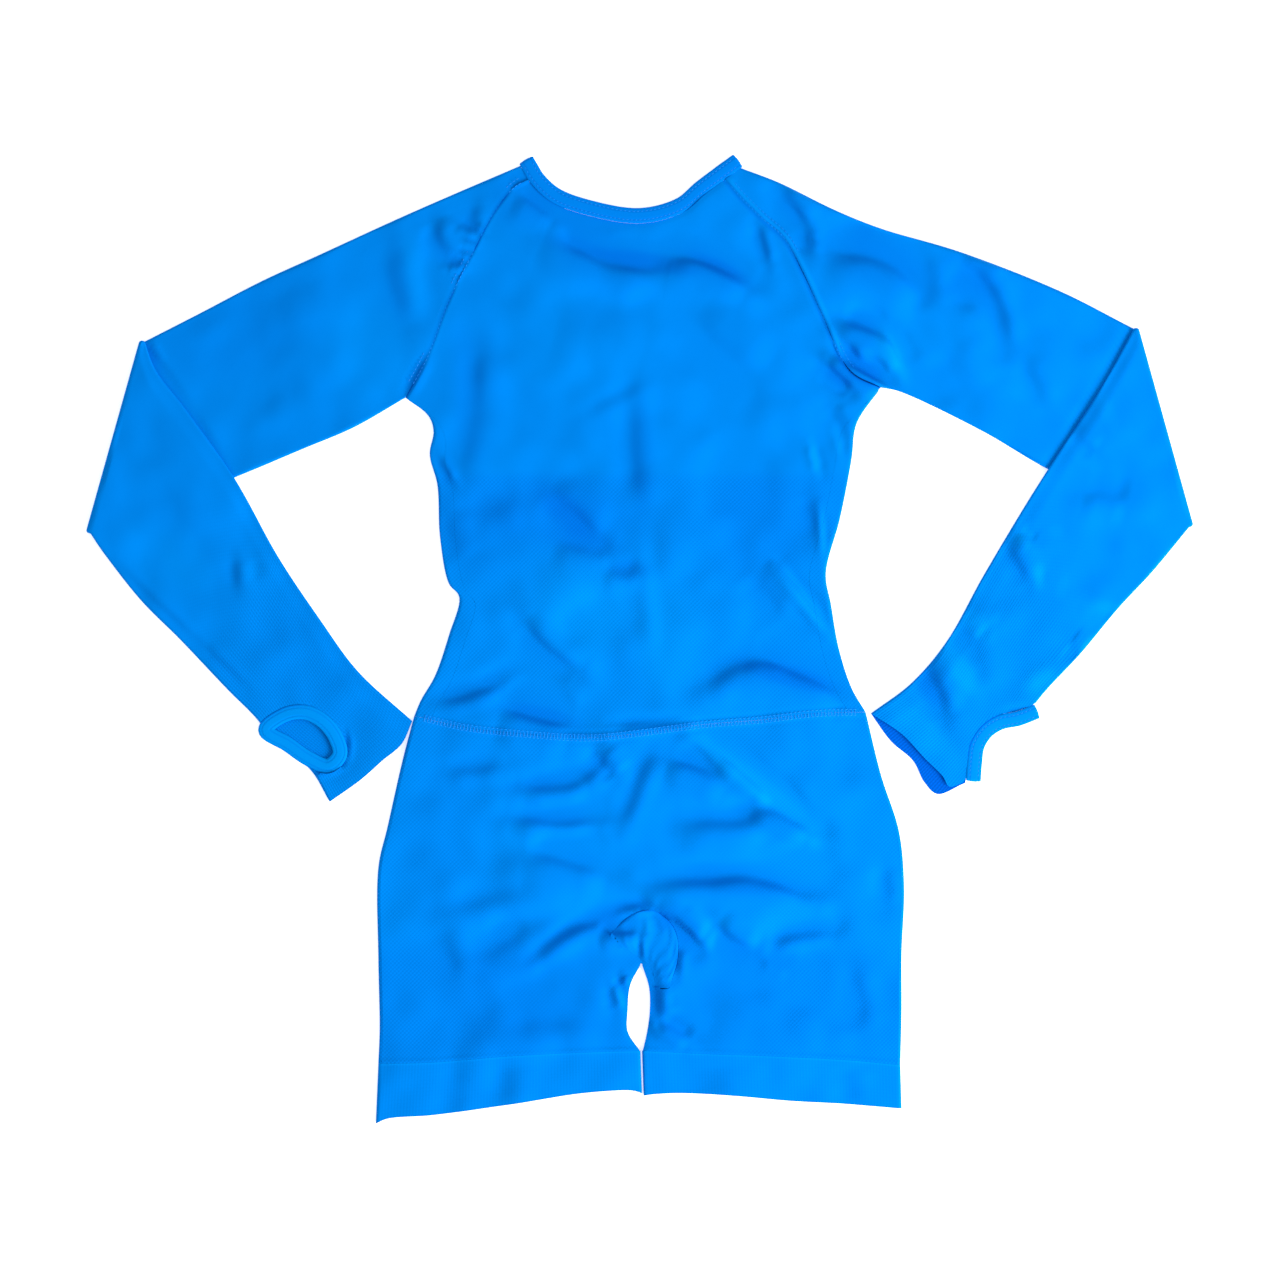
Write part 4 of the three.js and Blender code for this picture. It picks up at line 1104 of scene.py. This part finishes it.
def trimTo(outer, inner, cut, covers, line, ring, reach=3.5):
    # cells in the cut are left out, and the points round it are drawn to the line
    rows, columns = outer.shape[:2]
    kept = covers & ~cut

    def touched(cells):
        marked = np.zeros((rows, columns), bool)
        row, column = np.nonzero(cells)
        for down in (0, 1):
            for right in (0, 1):
                marked[row + down, (column + right) % columns if ring else column + right] = True
        return marked

    rim = touched(kept) & touched(cut)
    flat = outer[rim][:, :2]
    gaps = np.linalg.norm(flat[:, None] - line[None], axis=-1)
    nearest = gaps.argmin(1)
    move = np.where(gaps.min(1)[:, None] < reach, line[nearest] - flat, 0)
    for skin in (outer, inner):
        moved = skin[rim]
        moved[:, :2] += move
        skin[rim] = moved
    return kept


def cellCentres(outer, ring):
    after = np.roll(outer, -1, 1) if ring else outer[:, 1:]
    first = outer if ring else outer[:, :-1]
    return (first[:-1] + first[1:] + after[:-1] + after[1:]) / 4


# Finishes

def nodeGroup(name, inputs, outputs):
    group = bpy.data.node_groups.new(name, "ShaderNodeTree")
    for label, kind in inputs:
        group.interface.new_socket(label, in_out="INPUT", socket_type=kind)
    for label, kind in outputs:
        group.interface.new_socket(label, in_out="OUTPUT", socket_type=kind)
    source = group.nodes.new("NodeGroupInput")
    result = group.nodes.new("NodeGroupOutput")
    return group, source, result


def mathNode(tree, operation, first, second=None, third=None):
    node = tree.nodes.new("ShaderNodeMath")
    node.operation = operation
    for socket, value in zip(node.inputs, (first, second, third)):
        if value is None:
            continue
        if isinstance(value, (int, float)):
            socket.default_value = value
        else:
            tree.links.new(value, socket)
    return node.outputs[0]


def sineOf(tree, value, period):
    return mathNode(tree, "SINE", mathNode(tree, "MULTIPLY", value, 2 * math.pi / period))


def knitGroup():
    # loops of the knit: fine jersey everywhere, open diagonal mesh and upright ribs where they are marked
    group, source, result = nodeGroup(
        "knitLoops",
        [("Place", "NodeSocketVector"), ("Mesh", "NodeSocketFloat"), ("Rib", "NodeSocketFloat")],
        [("Height", "NodeSocketFloat"), ("Shade", "NodeSocketFloat")],
    )
    split = group.nodes.new("ShaderNodeSeparateXYZ")
    group.links.new(source.outputs["Place"], split.inputs[0])
    x, y = split.outputs[0], split.outputs[1]
    falling = sineOf(group, mathNode(group, "ADD", x, y), knit["meshPeriod"])
    rising = sineOf(group, mathNode(group, "SUBTRACT", x, y), knit["meshPeriod"])
    lattice = mathNode(group, "MULTIPLY", mathNode(group, "ADD", falling, rising), 0.5)
    lattice = mathNode(group, "MULTIPLY", lattice, source.outputs["Mesh"])
    wales = mathNode(group, "MULTIPLY", sineOf(group, x, knit["ribPeriod"]), source.outputs["Rib"])
    courses = sineOf(group, y, knit["coursePeriod"])
    courses = mathNode(group, "MULTIPLY", courses, source.outputs["Rib"])
    courses = mathNode(group, "MULTIPLY", courses, knit["courseShare"])
    ribs = mathNode(group, "ADD", wales, courses)
    wide, tall = sineOf(group, x, knit["loopWidth"]), sineOf(group, y, knit["loopHeight"])
    loops = mathNode(group, "MULTIPLY", wide, tall)
    loops = mathNode(group, "MULTIPLY", loops, knit["loopShare"])
    pattern = mathNode(group, "ADD", mathNode(group, "ADD", lattice, ribs), loops)
    group.links.new(pattern, result.inputs["Height"])
    group.links.new(pattern, result.inputs["Shade"])
    return group


knit = {
    "meshPeriod": 3.1,
    "ribPeriod": 2.4,
    "coursePeriod": 2.6,
    "loopWidth": 1.3,
    "loopHeight": 0.9,
    "bodyColour": (0.0, 0.185, 0.66),
    "weltColour": (0.0, 0.180, 0.65),
    "bindingColour": (0.0, 0.200, 0.69),
    "blueHold": 0.3,
    "threadColour": (0.0, 0.225, 0.76),
    "waistThreadColour": (0.0, 0.27, 0.88),
    "patternShade": 0.09,
    "drift": 0.06,
    "bump": 0.22,
    "bumpDepth": 0.3,
    "courseShare": 0.35,
    "loopShare": 0.25,
    "noiseScale": 0.05,
    "specular": 0.05,
    "specularTint": (0.0, 0.45, 1.0, 1.0),
    "sheen": 0.05,
    "sheenRoughness": 0.5,
    "sheenTint": (0.0, 0.5, 1.0, 1.0),
}
threadLook = {"noiseScale": 900, "vary": 0.3, "least": 0.85, "roughness": 0.6, "specular": 0.25}
loops = knitGroup()


def mixColour(tree, kind, factor, first, second):
    node = tree.nodes.new("ShaderNodeMix")
    node.data_type = "RGBA"
    node.blend_type = kind
    for socket, value in ((node.inputs[0], factor), (node.inputs[6], first), (node.inputs[7], second)):
        if isinstance(value, (int, float)):
            socket.default_value = value
        elif isinstance(value, tuple):
            socket.default_value = (*value, 1.0)
        else:
            tree.links.new(value, socket)
    return node.outputs[2]


def knitMaterial(name, colour, roughness):
    material = bpy.data.materials.new(name)
    material.use_nodes = True
    tree = material.node_tree
    shader = tree.nodes["Principled BSDF"]
    uv = tree.nodes.new("ShaderNodeUVMap")
    uv.uv_map = "cloth"
    place = tree.nodes.new("ShaderNodeVectorMath")
    place.operation = "SCALE"
    place.inputs["Scale"].default_value = uvUnit
    tree.links.new(uv.outputs[0], place.inputs[0])
    pattern = tree.nodes.new("ShaderNodeGroup")
    pattern.node_tree = loops
    tree.links.new(place.outputs[0], pattern.inputs["Place"])
    marks = {}
    for mark in ("mesh", "rib", "shadeAndTone"):
        attribute = tree.nodes.new("ShaderNodeAttribute")
        attribute.attribute_name = mark
        marks[mark] = attribute.outputs["Fac"]
    tree.links.new(marks["mesh"], pattern.inputs["Mesh"])
    tree.links.new(marks["rib"], pattern.inputs["Rib"])
    noise = tree.nodes.new("ShaderNodeTexNoise")
    noise.inputs["Scale"].default_value = knit["noiseScale"]
    noise.inputs["Detail"].default_value = 3
    tree.links.new(place.outputs[0], noise.inputs["Vector"])
    amount = mathNode(tree, "MULTIPLY_ADD", pattern.outputs["Shade"], knit["patternShade"], 1.0)
    drift = mathNode(tree, "MULTIPLY_ADD", noise.outputs["Fac"], knit["drift"], -knit["drift"] / 2)
    amount = mathNode(tree, "ADD", amount, drift)
    # The per-point mark scales the colour, green fully and blue less; it carries painted shade and painted
    # highlights as well as the darker zones of the cloth.
    darker = mathNode(tree, "MULTIPLY", amount, marks["shadeAndTone"])
    bluer = mathNode(tree, "MULTIPLY", amount, mathNode(tree, "POWER", marks["shadeAndTone"], knit["blueHold"]))
    shade = tree.nodes.new("ShaderNodeCombineColor")
    for socket, value in zip(shade.inputs, (darker, darker, bluer)):
        tree.links.new(value, socket)
    tree.links.new(mixColour(tree, "MULTIPLY", 1.0, colour, shade.outputs[0]), shader.inputs["Base Color"])
    bump = tree.nodes.new("ShaderNodeBump")
    bump.inputs["Distance"].default_value = knit["bumpDepth"] * mm
    bump.inputs["Strength"].default_value = knit["bump"]
    tree.links.new(pattern.outputs["Height"], bump.inputs["Height"])
    tree.links.new(bump.outputs[0], shader.inputs["Normal"])
    shader.inputs["Roughness"].default_value = roughness
    for socket, key in (
        ("Specular IOR Level", "specular"), ("Specular Tint", "specularTint"), ("Sheen Weight", "sheen"),
        ("Sheen Roughness", "sheenRoughness"), ("Sheen Tint", "sheenTint"),
    ):
        shader.inputs[socket].default_value = knit[key]
    return material


def threadMaterial(name, colour):
    material = bpy.data.materials.new(name)
    material.use_nodes = True
    tree = material.node_tree
    shader = tree.nodes["Principled BSDF"]
    coordinates = tree.nodes.new("ShaderNodeTexCoord")
    noise = tree.nodes.new("ShaderNodeTexNoise")
    noise.inputs["Scale"].default_value = threadLook["noiseScale"]
    tree.links.new(coordinates.outputs["Object"], noise.inputs["Vector"])
    amount = mathNode(tree, "MULTIPLY_ADD", noise.outputs["Fac"], threadLook["vary"], threadLook["least"])
    grey = tree.nodes.new("ShaderNodeCombineColor")
    for socket in grey.inputs:
        tree.links.new(amount, socket)
    tree.links.new(mixColour(tree, "MULTIPLY", 1.0, colour, grey.outputs[0]), shader.inputs["Base Color"])
    shader.inputs["Roughness"].default_value = threadLook["roughness"]
    shader.inputs["Specular IOR Level"].default_value = threadLook["specular"]
    return material


finishes = {
    "knit": knitMaterial("stretchKnit", knit["bodyColour"], 0.85),
    "welt": knitMaterial("weltKnit", knit["weltColour"], 0.88),
    "binding": knitMaterial("bindingJersey", knit["bindingColour"], 0.82),
}
thread = threadMaterial("sewingThread", knit["threadColour"])
waistThread = threadMaterial("waistThread", knit["waistThreadColour"])


def dress(piece, slot, *nodes, material=None):
    piece.data.materials.append(material or finishes[slot])
    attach(piece, "root")
    if nodes:
        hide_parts(*nodes)
    return piece


def reportArea(piece):
    area = sum(face.area for face in piece.data.polygons) / 2
    print(f"{piece.name}: {len(piece.data.polygons) * 2} triangles, cloth {area:.4f} square metres")


# Where the open mesh runs and how much the cloth darkens there, by height on the body
shading = {
    "meshTop": (122, 134),
    "hips": (60, 130),
    "seat": (90, 130),
    "seatMesh": 0.35,
    "backShade": 0.07,
    "backFade": (30, 110),
    "legShade": 0.08,
    "legFade": (220, 255),
}


def bodyMarks(outer):
    # the open mesh starts at a level line below the shoulder blades and is plainest at the seat
    points = outer[..., :2]
    x, y = points[..., 0], points[..., 1]
    lower = 1 - smoothstep(y, *shading["meshTop"])
    hips = smoothstep(np.abs(x), *shading["hips"])
    below = smoothstep(-y, *shading["seat"])
    shadeAndTone = 1 - shading["backShade"] * lower * smoothstep(y, *shading["backFade"])
    shadeAndTone = shadeAndTone - shading["legShade"] * smoothstep(-y, *shading["legFade"])
    # painted shade and painted highlights from the creases, patches and raglan seams
    shadeAndTone = shadeAndTone * paintedCreaseShading(shownCreases, points) * poolShadeAndTone(bodyShadeAndStretchPools, points)
    shadeAndTone = shadeAndTone * raglanShading("left", points) * raglanShading("right", points)
    atSeat = lerp(shading["seatMesh"], 1.0, hips)
    return {"mesh": lower * lerp(1.0, atSeat, below), "shadeAndTone": shadeAndTone}


# Gusset, bunched on the upper layer between the legs
gusset = {
    "far": [[-22, -229], [-10, -217], [4, -211], [17, -215], [27, -226], [30, -246], [23, -272]],
    "near": [[-14, -240], [-6, -245], [0, -249], [5, -252], [9, -257], [11, -264], [12, -272]],
    "rows": 34,
    "columns": 90,
    "lift": 1.1,
    "drop": 0.5,
    "rollWidth": 3.5,
    "gathers": 0.16,
    "gatherTurns": 44,
    "gatherSlant": 9,
    "gatherBend": (2, 7),
    "fadeLength": 7,
    "fadeShare": 0.12,
}
gussetFar, gussetNear = through(gusset["far"]), through(gusset["near"])
gussetShares = np.linspace(0, 1, gusset["columns"])
gussetOutline = np.vstack([
    beside(gussetNear, 0.03)(gussetShares), beside(gussetFar, -0.03)(gussetShares)[::-1],
])


def buildGusset():
    # a strip that stands above the shorts, rolled down at its far seam and sinking to its near one
    ends = [straight(gussetNear(end), gussetFar(end)) for end in (0.0, 1.0)]
    surface = patch(gussetNear, gussetFar, *ends)
    across, along = np.meshgrid(
        np.linspace(0, 1, gusset["columns"]), np.linspace(0, 1, gusset["rows"]))
    flat = surface(across, along)
    length = np.linalg.norm(gussetFar(across) - gussetNear(across), axis=-1)
    fromFar = np.clip((1 - along) * length / gusset["rollWidth"], 0, 1)
    roll = np.sqrt(1 - (1 - fromFar) ** 2)
    side = gusset["fadeShare"]
    fades = smoothstep(along * length, 0, gusset["fadeLength"])
    fades = fades * smoothstep(across, 0, side) * smoothstep(1 - across, 0, side)
    height = bodyTop(flat) - gusset["drop"] * (1 - roll) * fades
    height += gusset["lift"] * fades * roll
    sway, turns = gusset["gatherBend"]
    phase = gusset["gatherTurns"] * across + gusset["gatherSlant"] * along + sway * np.sin(turns * along)
    height += gusset["gathers"] * fades * np.sin(phase)
    outer, inner = withHeight(flat, height), withHeight(flat, height - wall)
    piece = gridPiece("crotchGusset", outer, inner, flat, marks=bodyMarks(outer))
    return dress(piece, "knit", "gusset")


def buildPanel(name, node, grid):
    outer, inner, covers = grid
    piece = gridPiece(name, outer, inner, outer[..., :2], covers=covers, marks=bodyMarks(outer))
    return dress(piece, "knit", node)


def seatPanel():
    # the back of the shorts, with the gusset's place left out
    outer, inner, covers = upperPanel(shorts)
    cut = insideOutline(gussetOutline, cellCentres(outer, False)[..., :2])
    return outer, inner, trimTo(outer, inner, cut, covers, gussetOutline, False)


def buildBody():
    return [
        buildPanel("backBodice", "back_bodice", upperPanel(bodice)),
        buildPanel("frontBodice", "front_bodice", underPanel(bodice)),
        buildPanel("shortsBack", "shorts_back", seatPanel()),
        buildPanel("shortsFront", "shorts_front", underPanel(shorts)),
    ]


def thumbEdge(side, distance, count=360):
    closed = side == "left"
    curve = through(thumbLine[side], closed)
    return beside(curve, distance, closed)(np.linspace(0, 1, count))


thumbBandWidth = 11.5


def buildSleeve(side):
    outer, inner, columns, shadeAndTone = sleeveSkins(side)
    centres = cellCentres(outer, True)
    covers = np.ones(centres.shape[:2], bool)
    layer, angle = columns["layer"][0], columns["angle"][0]
    if side == "left":
        line = thumbEdge(side, -thumbBandWidth / 2 - cloth["seamGap"])
        shownLayer = (layer == 2) | ((layer % 2 == 1) & (angle < 0))
        cut = insideOutline(line, centres[..., :2]) & shownLayer[None, :]
    else:
        line = thumbEdge(side, thumbBandWidth / 2 + cloth["seamGap"])
        ends = [
            point + run / np.linalg.norm(run) * sleeveGrid["thumbReach"]
            for point, run in ((line[0], line[0] - line[8]), (line[-1], line[-1] - line[-9]))
        ]
        outline = np.vstack([ends[0], line, ends[1], sleeveGrid["thumbCorner"]])
        cut = insideOutline(outline, centres[..., :2])
    cut[:foreStart] = False
    covers = trimTo(outer, inner, cut, covers, line, True)
    uv = ringUv(outer, foreStart + sleeveGrid["foreRows"] // 2)
    row = np.arange(outer.shape[0])[:, None] + 0 * layer[None, :]
    foreShare = (row - foreStart) / sleeveGrid["foreRows"]
    # the inside of the sleeve towards the cuff is darkened as painted shade
    inside = shadeAndTone * lerp(1, sleeveGrid["insideShade"][side], smoothstep(foreShare, *sleeveGrid["insideFrom"]))
    marks = {
        "mesh": sleeveGrid["meshShare"] * smoothstep(foreShare, *sleeveGrid["meshFrom"]),
        "rib": smoothstep(foreShare, *sleeveGrid["ribFrom"]),
        "shadeAndTone": np.stack([shadeAndTone, inside]),
    }
    piece = gridPiece(f"{side}SleeveCloth", outer, inner, uv, ring=True, covers=covers, marks=marks)
    return dress(piece, "knit", f"{side}_sleeve")


# Hem welts
hem = {"columns": (100, 40, 9), "rows": 28, "depth": 34.0, "rib": 0.25, "seamShine": 0.1}


def buildHem(side):
    welt, edge = through(weltLine[side]), through(hemLine[side])
    surface = patch(welt, edge, straight(welt(0.0), edge(0.0)), straight(welt(1.0), edge(1.0)))
    columns = tubeColumns(*hem["columns"])
    along = lerp(cloth["seamGap"] / 2 / hem["depth"], 1, np.linspace(0, 1, hem["rows"]) ** 1.4)[:, None]
    width = widthAt(surface, along)
    across = tubeSection(columns, width, restHeight)[0][0]
    spot = surface(across, along)
    top = lerp(restHeight, bodyTop(spot), edgeFade(across, width))
    section = tubeSection(columns, width, top)
    skins = [withHeight(surface(across, along), height) for across, height in section]
    uv = ringUv(skins[0], hem["rows"] // 2)
    rib = np.full(skins[0].shape[:2], hem["rib"])
    # painted shade and painted highlights from the creases and patches, and a painted highlight along the
    # welt seam
    shadeAndTone = paintedCreaseShading(shownCreases, spot) * poolShadeAndTone(bodyShadeAndStretchPools, spot)
    shadeAndTone = shadeAndTone + hem["seamShine"] * bell(along * hem["depth"], 1.2)
    piece = gridPiece(f"{side}HemWelt", *skins, uv, ring=True, marks={"rib": rib, "shadeAndTone": shadeAndTone})
    return dress(piece, "welt", f"{side}_hem")


# Bindings: a ring of sections, each with a centre, a direction across and one out of the cloth
binding = {
    "crown": 0.85,
    "grooveShade": 0.16,
    "stitchAt": 0.56,
    "stitchGroove": 0.28,
    "sink": 0.4,
    "acrossSteps": 25,
    "steps": 170,
    "foldSteps": 12,
    "shadeAndTone": {"neck": 0.88, "left": 1.14, "right": 1.02},
}


def bandPiece(name, centre, sideways, outward, width, shade, node):
    # outer skin crowned between two stitch grooves and rounded at both edges
    across = np.linspace(-1, 1, binding["acrossSteps"])[:, None]
    grooves = bell(np.abs(across) - binding["stitchAt"], 0.09)
    rise = wall / 2 + binding["crown"] * (1 - across**4) - binding["stitchGroove"] * grooves - 0.1
    offset = sideways[None] * (across * width / 2)[..., None]
    outer = centre[None] + offset + outward[None] * rise[..., None]
    inner = centre[None] + offset - outward[None] * wall / 2
    lengths = np.linalg.norm(np.roll(centre, -1, 0) - centre, axis=-1)
    along = np.concatenate([[0], np.cumsum(lengths)])
    uv = np.stack(np.broadcast_arrays(along[None, :], across * width / 2), -1)
    shadeAndTone = binding["shadeAndTone"][shade] * (1 - binding["grooveShade"] * grooves) + 0 * outer[..., 0]
    piece = gridPiece(name, outer, inner, uv, ring=True, marks={"shadeAndTone": shadeAndTone})
    return dress(piece, "binding", node)


def flatBinding(upper, lower, steps):
    # over the upper curve, folded at its end, and back along the lower curve
    crown = binding["crown"]
    upperHeight, lowerHeight = restHeight - binding["sink"] - wall / 2, wall / 2 + crown
    middle, radius = (upperHeight + lowerHeight) / 2, (upperHeight - lowerHeight) / 2
    t = np.linspace(0, 1, steps)

    def flat(curve, shares, height, up):
        place = withHeight(curve(shares), height)
        out = np.zeros_like(place)
        out[:, 2] = up
        return place, withHeight(rightOf(tangentAt(curve, shares)), 0.0), out

    def turn(end, heading, direction):
        angle = np.linspace(0, np.pi, binding["foldSteps"] + 2)[1:-1]
        run = tangentAt(upper, end) * heading
        place = upper(end) + run * (radius * np.sin(angle))[:, None]
        out = withHeight(run * np.sin(angle)[:, None], direction * np.cos(angle))
        across = np.broadcast_to([*rightOf(tangentAt(upper, end)), 0.0], place.shape[:1] + (3,))
        return withHeight(place, middle + direction * radius * np.cos(angle)), across, out

    runs = [
        flat(upper, t, upperHeight, 1), turn(1.0, 1, 1),
        flat(lower, 1 - t, lowerHeight, -1), turn(0.0, -1, -1),
    ]
    return [np.concatenate(parts) for parts in zip(*runs)]


def openBinding(steps):
    # far side on the lower layer of the cuff, near side on the upper one
    curve = through(thumbLine["left"], True)
    t = np.linspace(0, 1, steps, endpoint=False)
    centre = curve(t)
    farSide, nearSide = np.array([-275, -90]), np.array([-236, -62])
    run = nearSide - farSide
    share = (centre - farSide) @ run / (run @ run)
    low, high = wall + cloth["layerGap"] + wall / 2, restHeight - wall / 2
    height = lerp(low, high, smoothstep(share, 0.1, 0.9))
    sideways = withHeight(rightOf(tangentAt(curve, t, True)), 0.0)
    outward = np.zeros_like(sideways)
    outward[:, 2] = 1
    return withHeight(centre, height), sideways, outward


def buildBindings():
    ring = flatBinding(neckCurve, frontNeckCurve, binding["steps"])
    neck = bandPiece("neckBinding", *ring, bandWidth, "neck", "neckband")
    left = bandPiece("leftThumbBinding", *openBinding(150), thumbBandWidth, "left", "left_thumb_binding")
    rightCurve = through(thumbLine["right"])
    ring = flatBinding(rightCurve, rightCurve, 70)
    right = bandPiece("rightThumbBinding", *ring, thumbBandWidth, "right", "right_thumb_binding")
    return neck, left, right


# Stitches: small tapered bars, arched so that both ends dip into the cloth

def stitchPiece(name, centres, runs, length, width, height, finish=thread):
    count = len(centres)
    station = np.array([-1, -0.6, 0, 0.6, 1.0])
    thick = np.array([0.35, 0.9, 1.0, 0.9, 0.35])
    arch = 0.5 * height * (1 - 2.2 * station**2)
    corners = np.array([[1, 0], [0, 1], [-1, 0], [0, -1]], float)
    runs = withHeight(runs / np.linalg.norm(runs, axis=-1, keepdims=True), 0.0)
    side = withHeight(rightOf(runs[:, :2]), 0.0)
    up = np.array([0.0, 0.0, 1.0])
    spine = centres[:, None] + runs[:, None] * (station * length / 2)[None, :, None]
    spine = spine + up * arch[None, :, None]
    across = side[:, None, None] * (corners[:, 0] * width / 2)[None, None, :, None]
    rise = up * (corners[:, 1] * height / 2)[None, None, :, None]
    points = spine[:, :, None] + (across + rise) * thick[None, :, None, None]
    ring = np.arange(20).reshape(5, 4)
    a, b = ring[:-1], ring[1:]
    sides = np.stack([a, np.roll(a, -1, 1), np.roll(b, -1, 1), b], -1).reshape(-1, 4)
    faces = np.vstack([sides, ring[0][::-1], ring[-1]])
    faces = (faces[None] + (np.arange(count) * 20)[:, None, None]).reshape(-1, 4)
    flatPoints = points.reshape(-1, 3)
    a, b, c, d = (flatPoints[faces[:, k]] - centres.mean(0) for k in range(4))
    if (a * np.cross(b, c)).sum() + (a * np.cross(c, d)).sum() < 0:
        faces = faces[:, ::-1]
    piece = meshPiece(name, flatPoints, faces)
    return dress(piece, "binding", material=finish)


def alongCurve(curve, start, end, spacing, offset=0.0, closed=False):
    # evenly spaced places along a curve, moved to its right
    fine = np.linspace(start, end, 2000)
    line = beside(curve, offset, closed)(fine)
    lengths = np.concatenate([[0], np.cumsum(np.linalg.norm(np.diff(line, axis=0), axis=1))])
    count = max(int(lengths[-1] / spacing), 1)
    at = (np.arange(count) + 0.5) / count * lengths[-1]
    places = np.stack([np.interp(at, lengths, line[:, k]) for k in (0, 1)], -1)
    runs = tangentAt(curve, np.interp(at, lengths, fine), closed)
    return places, runs


stitching = {
    "length": 2.6,
    "spacing": 3.3,
    "width": 0.55,
    "height": 0.45,
    "waistHalf": 2.35,
    "rungSpacing": 2.6,
    "rungWidth": 0.5,
    "rungHeight": 0.35,
}


def buildStitching():
    made = []
    half = stitching["waistHalf"]
    lines = [alongCurve(waist, 0.02, 0.98, stitching["spacing"], offset) for offset in (-half, half)]
    spots = np.concatenate([line[0] for line in lines])
    directions = np.concatenate([line[1] for line in lines])
    made.append(stitchPiece("waistNeedleRows", withHeight(spots, bodyTop(spots) + 0.05), directions,
                            stitching["length"], stitching["width"], stitching["height"], waistThread))
    spots, runs = alongCurve(waist, 0.02, 0.98, stitching["rungSpacing"])
    made.append(stitchPiece("waistLooperRows", withHeight(spots, bodyTop(spots) + 0.02), rightOf(runs),
                            2 * half, stitching["rungWidth"], stitching["rungHeight"]))
    spots, directions = [], []
    for side in ("left", "right"):
        for offset in (0.0, 4.0):
            sign = 1 if side == "right" else -1
            line = alongCurve(raglan[side], 0.06, 0.97, stitching["spacing"], sign * offset)
            spots.append(line[0])
            directions.append(line[1])
    spots, directions = np.concatenate(spots), np.concatenate(directions)
    height = restHeight + raglanRidge("left", spots) + raglanRidge("right", spots)
    made.append(stitchPiece("raglanStitches", withHeight(spots, height - 0.05), directions,
                            stitching["length"], stitching["width"] * 0.8, stitching["height"] * 0.8))
    bandSpots, bandRuns = [], []
    top = restHeight - binding["sink"] + binding["crown"] * 0.9 - binding["stitchGroove"] - 0.05
    bands = ((neckCurve, 0.01, bandWidth), (through(thumbLine["right"]), 0.02, thumbBandWidth))
    for offset in (-1, 1):
        for curve, start, width in bands:
            away = offset * binding["stitchAt"] * width / 2
            spots, runs = alongCurve(curve, start, 1 - start, stitching["spacing"], away)
            bandSpots.append(withHeight(spots, top))
            bandRuns.append(runs)
    made.append(stitchPiece("bindingStitches", np.concatenate(bandSpots), np.concatenate(bandRuns),
                            stitching["length"], stitching["width"], stitching["height"]))
    return made


# Camera and light
view = {
    "distance": 5.0,  # straight above the middle of the photo
    "middle": (0.0, -0.00078),
    "frameWidth": 0.9984,  # what the photo is across, at the floor
    "sensor": 36.0,
}
studio = {
    "floorSide": 8.0,
    "floorGlow": 0.5,
    "ambient": 0.7,
    "keyPlace": (1.75, -1.12, 1.15),
    "keySide": 1.5,
    "keyPower": 92.0,
    "fillPlace": (0.45, 0.55, 0.95),
    "fillSide": 0.8,
    "fillPower": 1.2,
}


def buildCamera():
    camera = bpy.data.cameras.new("photoCamera")
    camera.sensor_width = view["sensor"]
    camera.lens = view["sensor"] * view["distance"] / view["frameWidth"]
    camera.clip_end = 40
    holder = bpy.data.objects.new("photoCamera", camera)
    holder.location = (*view["middle"], view["distance"])
    bpy.context.scene.collection.objects.link(holder)
    bpy.context.scene.camera = holder


def buildStudio():
    side = studio["floorSide"] / 2
    corners = np.array([[-side, -side, 0], [side, -side, 0], [side, side, 0], [-side, side, 0]]) / mm
    corners[:, 2] = -0.5
    floor = meshPiece("floor", corners, np.array([[0, 1, 2, 3]]))
    paper = bpy.data.materials.new("whitePaper")
    paper.use_nodes = True
    shader = paper.node_tree.nodes["Principled BSDF"]
    shader.inputs["Base Color"].default_value = (0.97, 0.97, 0.97, 1)
    shader.inputs["Roughness"].default_value = 0.9
    shader.inputs["Specular IOR Level"].default_value = 0.1
    shader.inputs["Emission Color"].default_value = (1, 1, 1, 1)
    shader.inputs["Emission Strength"].default_value = studio["floorGlow"]
    floor.data.materials.append(paper)
    world = bpy.data.worlds.new("studioWorld")
    world.use_nodes = True
    sky = world.node_tree.nodes["Background"]
    sky.inputs["Color"].default_value = (1, 1, 1, 1)
    sky.inputs["Strength"].default_value = studio["ambient"]
    bpy.context.scene.world = world
    for name, aim in (("key", (0.0, 0.0, 0.0)), ("fill", (0.45, 0.55, 0.0))):
        light = bpy.data.lights.new(f"{name}Light", "AREA")
        light.shape = "SQUARE"
        light.size = studio[f"{name}Side"]
        light.energy = studio[f"{name}Power"]
        holder = bpy.data.objects.new(f"{name}Light", light)
        place = Vector(studio[f"{name}Place"])
        holder.location = place
        holder.rotation_mode = "QUATERNION"
        holder.rotation_quaternion = (Vector(aim) - place).to_track_quat("-Z", "Y")
        bpy.context.scene.collection.objects.link(holder)
    bpy.context.scene.view_settings.view_transform = "Standard"


buildCamera()
buildStudio()
print("camera and studio are in place")
bodyPieces = buildBody()
print("body panels are made")
sleeves = [buildSleeve(side) for side in ("left", "right")]
print("sleeves are made")
gussetPiece = buildGusset()
hems = [buildHem(side) for side in ("left", "right")]
bindings = buildBindings()
print("gusset, welts and bindings are made")
stitchPieces = buildStitching()
print("stitching is made")

for piece in (*bodyPieces, *sleeves, gussetPiece, *hems, *bindings, *stitchPieces):
    reportArea(piece)
